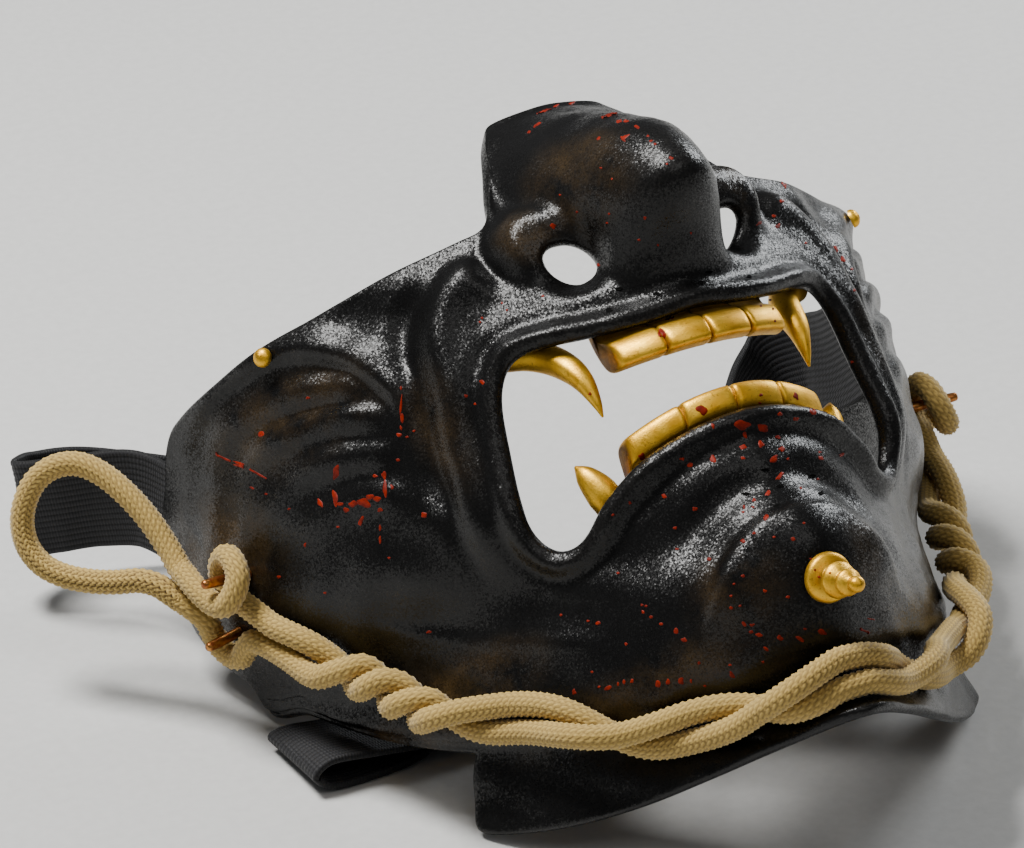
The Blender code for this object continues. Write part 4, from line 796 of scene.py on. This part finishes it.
def twisted_strands(grid, cloud):
    """The rope's two strands between its hitches, from the mask's right side to its left."""
    half = smooth_line(ROPE_ROUTE, ROUTE_STEPS)
    route = np.concatenate([half[:0:-1] * MIRROR[:2], half])
    base, normal = on_plate(grid, route[:, 0], route[:, 1], 0.0)
    places, held = spaced_out(base, ROPE_STEP, np.hstack([base, normal]))
    base = held[:, :3]
    ahead = np.gradient(base, axis=0)
    normal = square_to(ahead, held[:, 3:])
    side = np.cross(normal, unit(ahead))
    turn = 2 * pi * ROPE_TURNS * places / places[-1]
    turn -= ROPE_REST * np.sin(2 * turn)
    knotted = np.zeros(len(places))
    for knot in (places[-1] / 2 - ROPE_KNOT_AT, places[-1] / 2 + ROPE_KNOT_AT):
        turn += 2 * pi * np.clip((places - knot) / ROPE_KNOT_LONG + 0.5, 0.0, 1.0)
        beyond = np.abs(places - knot) - ROPE_KNOT_LONG / 2
        knotted = np.maximum(knotted, 1 - ease(beyond, 0.0, ROPE_KNOT_EASE))
    apart = ROPE_DIAMETER / 2 + STRAND_GAP / 2
    middle = np.abs(np.sin(turn)) * (1 - knotted) + knotted
    strands = []
    for way in (1.0, -1.0):
        height = ROPE_BED + apart * (middle + way * np.sin(turn))
        strands.append(base + normal * height[:, None] + side * (way * apart * np.cos(turn))[:, None])
    return lifted(strands, normal, cloud, ROPE_BED)


def hitch_axes(peg):
    """Towards the mask's rear, and towards the upper peg where peg is 1 or the lower one where it is -1."""
    ahead = unit(np.array(HITCH_AHEAD))
    return ahead, np.array([-ahead[1], ahead[0]]) * peg


def hitch_line(grid, side, peg):
    """A strand's turn round one peg. side is 1 on the mask's left and -1 on its right."""
    table = smooth_line(UPPER_HITCH if peg > 0 else LOWER_HITCH, HITCH_STEPS)
    ahead, over = hitch_axes(peg)
    place = np.array(HITCH_AT) + table[:, :1] * ahead + table[:, 1:2] * over
    return on_plate(grid, side * place[:, 0], place[:, 1], ROPE_BED + table[:, 2])[0]


def rope_path(grid, cloud):
    """The whole rope's centre line, from the lower end of its free loop to the upper end."""
    lower, upper = twisted_strands(grid, cloud)
    near_low, near_up, far_low, far_up = (hitch_line(grid, side, peg) for side in (-1, 1) for peg in (-1, 1))
    reach = np.linalg.norm(far_up[-1] - far_low[-1]) / 2
    bend = (far_low[-1] + far_up[-1]) / 2 + unit(far_up[-1] - far_up[-2]) * reach
    knots = np.concatenate([near_low[::-1], lower, far_low, [bend], far_up[::-1], upper[::-1], near_up])
    return spaced_out(knots, ROPE_STEP, knots)[1]


def placed(name, data):
    """A new object in the scene."""
    item = bpy.data.objects.new(name, data)
    bpy.context.scene.collection.objects.link(item)
    return item


def visible(name, points, faces, look, shares=None, smooth_angle=SOFT_EDGES, uv=None, stands_in=True):
    """A piece from points in metres of the row frame, riding on the model's one body.

    It stands in for the solid of its name, unless it's only laid on others.
    """
    mesh = bpy.data.meshes.new(name)
    mesh.from_pydata(np.array(points).tolist(), [], faces)
    for share_name, values in (shares or {}).items():
        attribute = mesh.attributes.new(share_name, "FLOAT", "POINT")
        attribute.data.foreach_set("value", np.array(values, np.float32))
    if uv is not None:
        corners = np.zeros(len(mesh.loops), np.int32)
        mesh.loops.foreach_get("vertex_index", corners)
        layer = mesh.uv_layers.new(name="UVMap")
        layer.data.foreach_set("uv", np.array(uv, np.float32)[corners].reshape(-1))
    shell = bmesh.new()
    shell.from_mesh(mesh)
    bmesh.ops.recalc_face_normals(shell, faces=shell.faces)
    shell.to_mesh(mesh)
    shell.free()
    mesh.materials.append(look)
    mesh.shade_smooth()
    if smooth_angle < SOFT_EDGES:
        mesh.set_sharp_from_angle(angle=radians(smooth_angle))
    item = placed("visible_" + name if stands_in else name, mesh)
    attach(item, "root")
    if stands_in:
        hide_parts(name)
    return item


def at_rest(points):
    """Worn millimetres to metres in the row frame, where the mask lies pitched back on the floor."""
    points = np.array(points, float)
    lean = radians(REST_PITCH)
    x, back, up = points[:, 0], -points[:, 1], points[:, 2]
    y = back * cos(lean) + up * sin(lean) + REST_BACK
    z = up * cos(lean) - back * sin(lean) + REST_LIFT
    return np.stack([x, y, z], -1) * MM


def face_plate(look):
    points, faces, shares = plate_shell()
    return visible("face_plate", at_rest(points), faces, look, shares)


def tooth_strip(strip, look):
    section = cut_corners(strip.section, True)
    w, u = section.T
    middle_w, middle_u = section.mean(axis=0)
    width = 2 * strip.half / TEETH
    rings, groove = [], []
    for tooth in range(TEETH):
        for share in BLOCK_STATIONS:
            at = -strip.half + (tooth + share) * width
            short = max(0.0, 1 - min(share, 1 - share) * width / BLOCK_ROUND)
            deep = 1 - np.sqrt(max(0.0, 1 - short ** 2))
            pinch = BLOCK_GROOVE * deep
            crown = BLOCK_CROWN * (1 - (2 * share - 1) ** 2) * ease(w, w.min(), w.max())
            to_end = (at / strip.half) ** 2
            rings.append(np.stack([np.full(len(w), at),
                                   w + (middle_w - w) * pinch - strip.bow * to_end + crown,
                                   u + (middle_u - u) * pinch * BLOCK_GROOVE_UP - strip.arch * to_end], -1))
            groove.append(np.full(len(w), deep))
    points, faces = loft(rings)
    # groove marks the dips between the teeth, which the gold paint darkens as painted shade
    shares = {"groove": np.concatenate(groove)}
    return visible(strip.name, at_rest(points), faces, look, shares)


def fang(name, stations, side, look):
    fine = smooth_line(stations, FANG_FINE_STEPS)
    path = fine[:, :3] * np.array([side, 1.0, 1.0])
    turn = np.linspace(0.0, 2 * pi, FANG_FINE_SIDES, endpoint=False)[:, None]
    ridged = 1 + FANG_RIDGE * np.maximum(np.cos(2 * turn), 0.0) ** 4
    rings = [point + radius * ridged * (np.cos(turn) * one + np.sin(turn) * two)
             for point, radius, one, two in zip(path, fine[:, 3], *across_axes(path))]
    # The fang's root, where it meets the lip, is marked darker as painted shade
    dark = FANG_DARK * (1 - ease(np.arange(len(path)) / len(path), 0.0, FANG_DARK_LONG))
    groove = np.repeat(dark, FANG_FINE_SIDES)
    points, faces = loft(rings)
    return visible(name, at_rest(points), faces, look, {"groove": groove})


def turned(name, profile, foot, axis, look, sides):
    """A turned piece, marked darker in its grooves as painted shade."""
    outline = cut_corners(profile, False)
    points_sideways = abs(axis[0]) >= SIDEWAYS
    first = unit(np.cross(axis, [0.0, 1.0, 0.0] if points_sideways else [1.0, 0.0, 0.0]))
    second = np.cross(axis, first)
    turn = np.linspace(0.0, 2 * pi, sides, endpoint=False)[:, None]
    rings = [foot + axis * height + radius * (np.cos(turn) * first + np.sin(turn) * second)
             for radius, height in outline]
    about = 2 * TURNED_REACH + 1
    reach = np.convolve(np.pad(outline[:, 0], TURNED_REACH, "edge"), np.full(about, 1 / about), "valid")
    groove = np.repeat(np.clip((reach - outline[:, 0]) / TURNED_DEEP, 0.0, 1.0), sides)
    points, faces = loft(rings)
    return visible(name, at_rest(points), faces, look, {"groove": groove}, SHARP_EDGES)


def pin(grid, name, profile, side, place, look, sides):
    """A turned piece that stands on the plate, at a place on its unrolled half."""
    foot, normal = on_plate(grid, [side * place[0]], [place[1]], GAP)
    return turned(name, profile, foot[0], normal[0], look, sides)


def braided_tube(path):
    """A round braid along a path in millimetres: two sets of strands that pass over and under in twos.

    Both ends are drawn out a little, so that two parts of one rope meet.
    """
    start = path[0] + unit(path[0] - path[1]) * ROPE_JOIN
    end = path[-1] + unit(path[-1] - path[-2]) * ROPE_JOIN
    path = np.vstack([start, path, end])
    places, path = spaced_out(path, BRAID_STEP, path)
    first, second = across_axes(path)
    turn = (np.arange(BRAID_SIDES) + 0.5) * 2 * pi / BRAID_SIDES
    height, gap = braid_height(places[:, None], turn[None, :])
    radius = ROPE_DIAMETER / 2 + height
    ring = first[:, None] * np.cos(turn)[None, :, None] + second[:, None] * np.sin(turn)[None, :, None]
    points, faces = loft(path[:, None] + radius[..., None] * ring)
    # gap is what the rope's look paints: a highlight on the crests and shade between strands
    return points, faces, {"gap": gap.reshape(-1)}


def braid_height(along, turn):
    """How far the braid's surface stands off its mean radius, and how deep it is between strands."""
    over = turn * BRAID_CARRIERS / (2 * pi)
    down = along / BRAID_PITCH
    first_cell, second_cell = np.floor(over + down), np.floor(over - down)
    first_part, second_part = over + down - first_cell, over - down - second_cell
    weave = np.mod(first_cell + second_cell, 4)
    one_over = weave < 2
    cross = np.where(one_over, first_part, second_part)
    length = np.where(one_over, (weave + second_part) / 2, (weave - 2 + first_part) / 2)
    raised = np.sin(pi * cross) * (BRAID_LOW + (1 - BRAID_LOW) * np.sin(pi * length))
    return BRAID_RELIEF * (raised - BRAID_MEAN), 1 - raised


def rope_loop(look):
    path = smooth_line(ROPE_LOOP, ROPE_FINE_STEPS)
    points, faces, shares = braided_tube(path)
    item = visible("rope_loop_right", points * MM, faces, look, shares)


def jaw_rope(grid, cloud, look):
    points, faces, shares = braided_tube(smooth_line(rope_path(grid, cloud), ROPE_FINE_STEPS))
    visible("jaw_rope", at_rest(points), faces, look, shares)


def elastic_strap(look):
    """The ribbed band, with its ribs along its length on both faces."""
    table = smooth_line(STRAP, STRAP_FINE_STEPS)
    path = table[:, :3]
    ahead = np.gradient(path, axis=0)
    wide = square_to(ahead, table[:, 3:])
    thick = np.cross(unit(ahead), wide)
    columns = np.arange(STRAP_RIBS * STRAP_RIB_COLUMNS + 1)
    over = (columns / columns[-1] * 2 - 1) * STRAP_WIDTH / 2
    rib = np.sin(pi * (columns % STRAP_RIB_COLUMNS) / STRAP_RIB_COLUMNS)
    near_edge = np.clip((np.abs(over) - STRAP_WIDTH / 2 + STRAP_EDGE_ROUND) / STRAP_EDGE_ROUND, 0.0, 1.0)
    half = STRAP_THICK / 2 - STRAP_RIB_HEIGHT / 2 + STRAP_RIB_HEIGHT * rib
    half = half * np.sqrt(1 - STRAP_EDGE_THIN * near_edge ** 2)
    over = np.concatenate([over, over[::-1]])
    out = np.concatenate([half, -half[::-1]])
    points, faces = loft(path[:, None] + wide[:, None] * over[:, None] + thick[:, None] * out[:, None])
    run = length_along(path)
    # gap marks the hollows between ribs, which the look paints dark as shade
    gap = np.tile(np.concatenate([1 - rib, 1 - rib[::-1]]), len(path))
    uv = np.stack([np.tile(over, len(path)), np.repeat(run, len(over))], -1)
    item = visible("elastic_strap", points * MM, faces, look, {"gap": gap}, SHARP_EDGES, uv)


def rope_pegs(grid, look):
    for side_name, side in SIDES.items():
        for name, profile in PEG_PROFILES.items():
            _, over = hitch_axes(1 if name == "upper" else -1)
            place = np.array(HITCH_AT) + over * PEG_APART / 2
            peg_name = "rope_peg_%s_%s" % (name, side_name)
            pin(grid, peg_name, profile, side, place, look, PEG_SIDES)


class Look:
    """A material with its nodes, built by name."""

    def __init__(self, name, colour, roughness, metallic=0.0, specular=0.5, sheen=0.0):
        self.made = bpy.data.materials.new(name)
        self.made.use_nodes = True
        self.shader = self.made.node_tree.nodes["Principled BSDF"]
        self.fill(self.shader, {"Base Color": colour, "Roughness": roughness, "Metallic": metallic,
                                "Specular IOR Level": specular, "Sheen Weight": sheen})

    def fill(self, node, values):
        """Sets a node's sockets, each to a number, three numbers or another node's output."""
        for name, value in values.items():
            socket = node.inputs[name]
            if isinstance(value, bpy.types.NodeSocket):
                self.made.node_tree.links.new(value, socket)
            elif value is not None:
                socket.default_value = (*value, 1.0) if socket.type == "RGBA" else value

    def node(self, kind, values, **settings):
        made = self.made.node_tree.nodes.new("ShaderNode" + kind)
        for name, value in settings.items():
            setattr(made, name, value)
        self.fill(made, values)
        return made.outputs

    def place(self, kind="Object"):
        return self.node("TexCoord", {})[kind]

    def noise(self, scale, detail=2.0, roughness=0.5, place=None):
        return self.node("TexNoise", {"Scale": scale, "Detail": detail, "Roughness": roughness,
                                      "Vector": place or self.place()})["Fac"]

    def share(self, name):
        return self.node("Attribute", {}, attribute_name=name)["Fac"]

    def ranged(self, value, low, high, to_low=0.0, to_high=1.0):
        return self.node("MapRange", dict(enumerate((value, low, high, to_low, to_high))))[0]

    def maths(self, kind, first, second):
        return self.node("Math", {0: first, 1: second}, operation=kind)[0]

    def vector_maths(self, kind, *values):
        return self.node("VectorMath", dict(enumerate(values)), operation=kind)[0]

    def mixed(self, share, first, second):
        """A colour between two, each one a socket or three numbers."""
        return self.node("Mix", {0: share, 6: first, 7: second}, data_type="RGBA")[2]

    def mottled(self, scale, low, high, first, second):
        """A cloudy share, and a colour that goes from the first to the second with it."""
        cloud = self.noise(scale, 3.0)
        return cloud, self.mixed(self.ranged(cloud, low, high), first, second)

    def bump(self, height, depth, strength, under=None):
        values = {"Strength": strength, "Distance": depth, "Height": height, "Normal": under}
        return self.node("Bump", values)[0]

    def facets(self, scale, tilt, under):
        """The normal under it, tipped a random way in each small cell."""
        cells = self.node("TexVoronoi", {"Scale": scale, "Vector": self.place()})["Color"]
        tipped = self.vector_maths("MULTIPLY_ADD", cells, (tilt,) * 3, (-tilt / 2,) * 3)
        return self.vector_maths("NORMALIZE", self.vector_maths("ADD", under, tipped))

    def finish(self, colour, roughness=None, normal=None):
        self.fill(self.shader, {"Base Color": colour, "Roughness": roughness, "Normal": normal})
        return self.made


def black_resin():
    look = Look("black resin", (0.005, 0.0048, 0.0046), 0.36, specular=0.28)
    grain = look.noise(2500.0, 1.0)
    peel = look.noise(1500.0)
    cloud = look.noise(95.0, 4.0, 0.6)
    dusty = look.maths("MULTIPLY", look.share("dust"), look.ranged(cloud, 0.35, 0.68))
    dusty = look.maths("MULTIPLY", dusty, look.ranged(grain, 0.3, 0.6, 0.35, 1.0))
    colour = look.mixed(dusty, (0.0032, 0.0031, 0.0031), (0.078, 0.046, 0.015))
    # Crests and rims are painted a little lighter grey, a painted highlight
    worn = look.ranged(look.share("worn"), 0.45, 0.95)
    painted_light_share = look.maths("MULTIPLY", worn, look.ranged(look.noise(1500.0, 3.0), 0.36, 0.62))
    colour = look.mixed(look.maths("MULTIPLY", painted_light_share, 0.05), colour, (0.13, 0.12, 0.11))
    dull = look.maths("ADD", look.maths("MULTIPLY", grain, 0.6), look.maths("MULTIPLY", cloud, 0.4))
    normal = look.facets(3100.0, 0.28, look.bump(peel, 0.00006, 0.5))
    return look.finish(colour, look.ranged(dull, 0.3, 0.7, 0.24, 0.38), normal)


def gold_paint():
    look = Look("gold paint", (0.80, 0.42, 0.035), 0.38, 0.92, specular=0.4)
    grain = look.noise(2500.0, 3.0, 0.6)
    cloud, colour = look.mottled(260.0, 0.3, 0.7, (0.72, 0.37, 0.018), (0.94, 0.57, 0.050))
    # Grooves between teeth, the fangs' roots and the turned pieces' grooves are painted dark brown, a painted
    # shade
    painted_light_share = look.maths("MULTIPLY", look.share("groove"), look.ranged(cloud, 0.25, 0.6, 0.6, 1.0))
    colour = look.mixed(painted_light_share, colour, (0.10, 0.040, 0.008))
    specks = look.ranged(look.noise(1500.0), 0.62, 0.70)
    colour = look.mixed(look.maths("MULTIPLY", specks, 0.55), colour, (0.30, 0.12, 0.012))
    return look.finish(colour, look.ranged(grain, 0.3, 0.7, 0.36, 0.52), look.bump(grain, 0.00010, 0.6))


def bronze_pin():
    look = Look("bronze pin", (0.40, 0.17, 0.05), 0.35, metallic=1.0)
    cloud, colour = look.mottled(900.0, 0.35, 0.65, (0.50, 0.23, 0.06), (0.26, 0.07, 0.025))
    return look.finish(colour, look.ranged(cloud, 0.3, 0.7, 0.28, 0.5), look.bump(cloud, 0.00008, 0.4))


def tan_rope():
    look = Look("tan rope", (0.42, 0.29, 0.12), 0.8, specular=0.3, sheen=0.25)
    _, colour = look.mottled(60.0, 0.3, 0.7, (0.43, 0.275, 0.058), (0.53, 0.350, 0.085))
    fibre = look.noise(3200.0, 3.0, 0.7)
    colour = look.mixed(look.ranged(fibre, 0.35, 0.65, 0.0, 0.5), colour, (0.62, 0.44, 0.15))
    # The braid's crests are painted lighter as a highlight, and the gaps between its strands dark as painted
    # shade
    gap = look.share("gap")
    colour = look.mixed(look.ranged(gap, 0.05, 0.35, 0.45, 0.0), colour, (0.78, 0.57, 0.18))
    colour = look.mixed(look.ranged(gap, 0.4, 0.95), colour, (0.10, 0.055, 0.016))
    return look.finish(colour, look.ranged(fibre, 0.3, 0.7, 0.65, 0.9), look.bump(fibre, 0.00012, 0.6))


def black_elastic():
    look = Look("black elastic", (0.010, 0.010, 0.011), 0.7, specular=0.25, sheen=0.06)
    place = look.place("UV")
    weft = look.node("TexWave", {"Scale": 0.42, "Distortion": 1.2, "Detail": 2.0, "Vector": place},
                     wave_type="BANDS", bands_direction="Y")["Fac"]
    fibre = look.noise(3.0, 3.0, 0.7, place)
    # The hollows between the ribs are painted near black, as painted shade
    painted_rib_shade = look.ranged(look.share("gap"), 0.2, 1.0)
    colour = look.mixed(painted_rib_shade, (0.016, 0.016, 0.018), (0.003, 0.003, 0.0035))
    colour = look.mixed(look.ranged(fibre, 0.5, 0.75, 0.0, 0.4), colour, (0.035, 0.035, 0.038))
    normal = look.bump(fibre, 0.00008, 0.5, look.bump(weft, 0.00018, 0.6))
    return look.finish(colour, look.ranged(fibre, 0.3, 0.7, 0.5, 0.8), normal)


def red_paint():
    look = Look("red paint", (0.24, 0.012, 0.008), 0.5, specular=0.15)
    cloud, colour = look.mottled(700.0, 0.35, 0.65, (0.26, 0.014, 0.0028), (0.12, 0.006, 0.0013))
    return look.finish(colour, look.ranged(cloud, 0.3, 0.7, 0.4, 0.6), look.bump(cloud, 0.00008, 0.4))


# Near-black spots painted as the shade inside the small sockets
def painted_socket_shade():
    look = Look("painted socket shade", (0.0008, 0.0008, 0.0008), 0.9, specular=0.1)
    return look.finish(look.mixed(look.noise(1500.0), (0.0004, 0.0004, 0.0004), (0.0015, 0.0014, 0.0012)))


def pale_floor():
    look = Look("pale floor", (0.60, 0.60, 0.59), 0.85)
    cloud, colour = look.mottled(350.0, 0.3, 0.7, (0.58, 0.58, 0.57), (0.62, 0.62, 0.61))
    return look.finish(colour, normal=look.bump(cloud, 0.0002, 0.3))


def view_axes():
    turn, rise = radians(CAMERA_TURN), radians(CAMERA_RISE)
    right = np.array([cos(turn), -sin(turn), 0.0])
    up = np.array([sin(turn) * sin(rise), cos(turn) * sin(rise), cos(rise)])
    back = np.array([-sin(turn) * cos(rise), -cos(turn) * cos(rise), sin(rise)])
    return right, up, back


def view_place():
    right, up, back = view_axes()
    peg = np.array([0.0, REST_BACK, REST_LIFT])
    return Vector((peg + right * CAMERA_RIGHT + up * CAMERA_UP + back * CAMERA_BACK) * MM)


def ray_to(photo_x, photo_y):
    """The direction from the camera through a place in the picture."""
    right, up, back = view_axes()
    ahead = (right * (photo_x - PICTURE_WIDE / 2) - up * (photo_y - PICTURE_HIGH / 2)) / FOCAL_PIXELS - back
    return Vector(unit(ahead))


def spots(name, look, carriers, table, middle, outline):
    """Thin spots on what the camera sees, each drawn from its place in the picture."""
    trees = [BVHTree.FromPolygons([vertex.co for vertex in item.data.vertices],
                                  [face.vertices for face in item.data.polygons]) for item in carriers]
    eye = view_place()

    def touched(photo_x, photo_y):
        """Where a ray first meets a carrier: the place, the outward direction, the face and the distance."""
        hits = [tree.ray_cast(eye, ray_to(photo_x, photo_y)) for tree in trees]
        return min((hit for hit in hits if hit[0] is not None), key=lambda hit: hit[3], default=None)

    seeded = np.random.default_rng(DROP_SEED)
    points, faces = [], []
    for drop in table:
        centre = touched(drop.photo_x, drop.photo_y)
        waves = list(zip(seeded.uniform(-1, 1, DROP_WAVES), seeded.uniform(0, 2 * pi, DROP_WAVES)))
        if centre is None:
            continue
        on, outward, _, away = centre
        first = len(points)
        points.append(on + outward * middle)
        turn = radians(drop.turn)
        for share, height in outline:
            for side in range(DROP_SIDES):
                angle = 2 * pi * side / DROP_SIDES
                uneven = sum(wave * sin((n + 2) * angle + start) for n, (wave, start) in enumerate(waves))
                reach = DROP_SIZE / 2 * share * (1 + DROP_UNEVEN * uneven)
                along, over = drop.long * reach * cos(angle), drop.wide * reach * sin(angle)
                place = (drop.photo_x + along * cos(turn) - over * sin(turn),
                         drop.photo_y + along * sin(turn) + over * cos(turn))
                hit = touched(*place)
                if hit is None or abs(hit[3] - away) > DROP_STEP:
                    beside = eye + ray_to(*place) * away - on
                    points.append(on + beside - outward * (beside.dot(outward) - height))
                else:
                    points.append(hit[0] + hit[1] * height)
        for side in range(DROP_SIDES):
            after = (side + 1) % DROP_SIDES
            faces.append((first, first + 1 + side, first + 1 + after))
            for inner in range(first + 1, len(points) - DROP_SIDES, DROP_SIDES):
                outer = inner + DROP_SIDES
                faces.append((inner + side, outer + side, outer + after, inner + after))
    visible(name, points, faces, look, stands_in=False)


def studio():
    """The plain floor, the soft lights and the camera."""
    scene = bpy.context.scene
    mesh = bpy.data.meshes.new("floor")
    ends = (-FLOOR_HALF, FLOOR_HALF)
    mesh.from_pydata([(x, y, 0) for x in ends for y in ends], [], [(0, 2, 3, 1)])
    mesh.materials.append(pale_floor())
    placed("floor", mesh)
    scene.world = bpy.data.worlds.new("studio")
    scene.world.use_nodes = True
    background = scene.world.node_tree.nodes["Background"].inputs
    background["Color"].default_value = WORLD_COLOUR
    background["Strength"].default_value = WORLD_STRENGTH
    right, up, back = (Vector(axis) for axis in view_axes())
    for lamp in LAMPS:
        light = bpy.data.lights.new(lamp.name, "AREA")
        light.energy = lamp.watts
        light.shape = "RECTANGLE"
        light.size, light.size_y = lamp.wide, lamp.high
        light.color = lamp.colour
        item = placed(lamp.name, light)
        beside = right * lamp.right + Vector((0, 0, 1)) * lamp.up + back * lamp.back
        item.location = Vector(LAMP_AIM) + beside
        item.rotation_euler = beside.to_track_quat("Z", "Y").to_euler()
    camera = bpy.data.cameras.new("camera")
    camera.sensor_width = SENSOR_MM
    camera.lens = FOCAL_PIXELS / PICTURE_WIDE * SENSOR_MM
    camera.clip_end = CAMERA_CLIP
    scene.camera = placed("camera", camera)
    axes = Matrix((right, up, back)).transposed().to_4x4()
    scene.camera.matrix_world = Matrix.Translation(view_place()) @ axes


def pieces():
    resin, gold, bronze, tan = black_resin(), gold_paint(), bronze_pin(), tan_rope()
    elastic_strap(black_elastic())
    rope_loop(tan)
    grid = plate_grid(SEAT_STEP)
    cloud = outer_cloud(grid)
    carriers = [face_plate(resin)] + [tooth_strip(strip, gold) for strip in STRIPS]
    for side_name, side in SIDES.items():
        carriers += [fang(name + side_name, stations, side, gold) for name, stations in FANGS.items()]
        pin(grid, "cheek_stud_" + side_name, STUD_PROFILE, side, STUD_AT, gold, STUD_SIDES)
    axis = np.array([0.0, cos(radians(CHIN_PEG_DROP)), -sin(radians(CHIN_PEG_DROP))])
    foot = axis * seat_height(cloud, np.zeros(3), axis, CHIN_PEG_PROFILE[0][0])
    carriers.append(turned("chin_peg", CHIN_PEG_PROFILE, foot, axis, gold, CHIN_PEG_SIDES))
    rope_pegs(grid, bronze)
    jaw_rope(grid, cloud, tan)
    spots("paint_spatter", red_paint(), carriers, SPATTER, DROP_MIDDLE, DROP_RINGS)
    # The sockets are near-black spots of painted shade
    spots("bristle_socket_shade", painted_socket_shade(), carriers[:1], PITS, PIT_MIDDLE, PIT_RINGS)


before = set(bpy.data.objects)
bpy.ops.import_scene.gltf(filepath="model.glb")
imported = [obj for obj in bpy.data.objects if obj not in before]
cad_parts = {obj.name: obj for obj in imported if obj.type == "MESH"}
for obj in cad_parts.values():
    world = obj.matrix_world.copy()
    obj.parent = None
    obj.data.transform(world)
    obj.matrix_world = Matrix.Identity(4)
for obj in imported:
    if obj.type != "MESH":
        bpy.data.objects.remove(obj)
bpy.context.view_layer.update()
studio()
pieces()
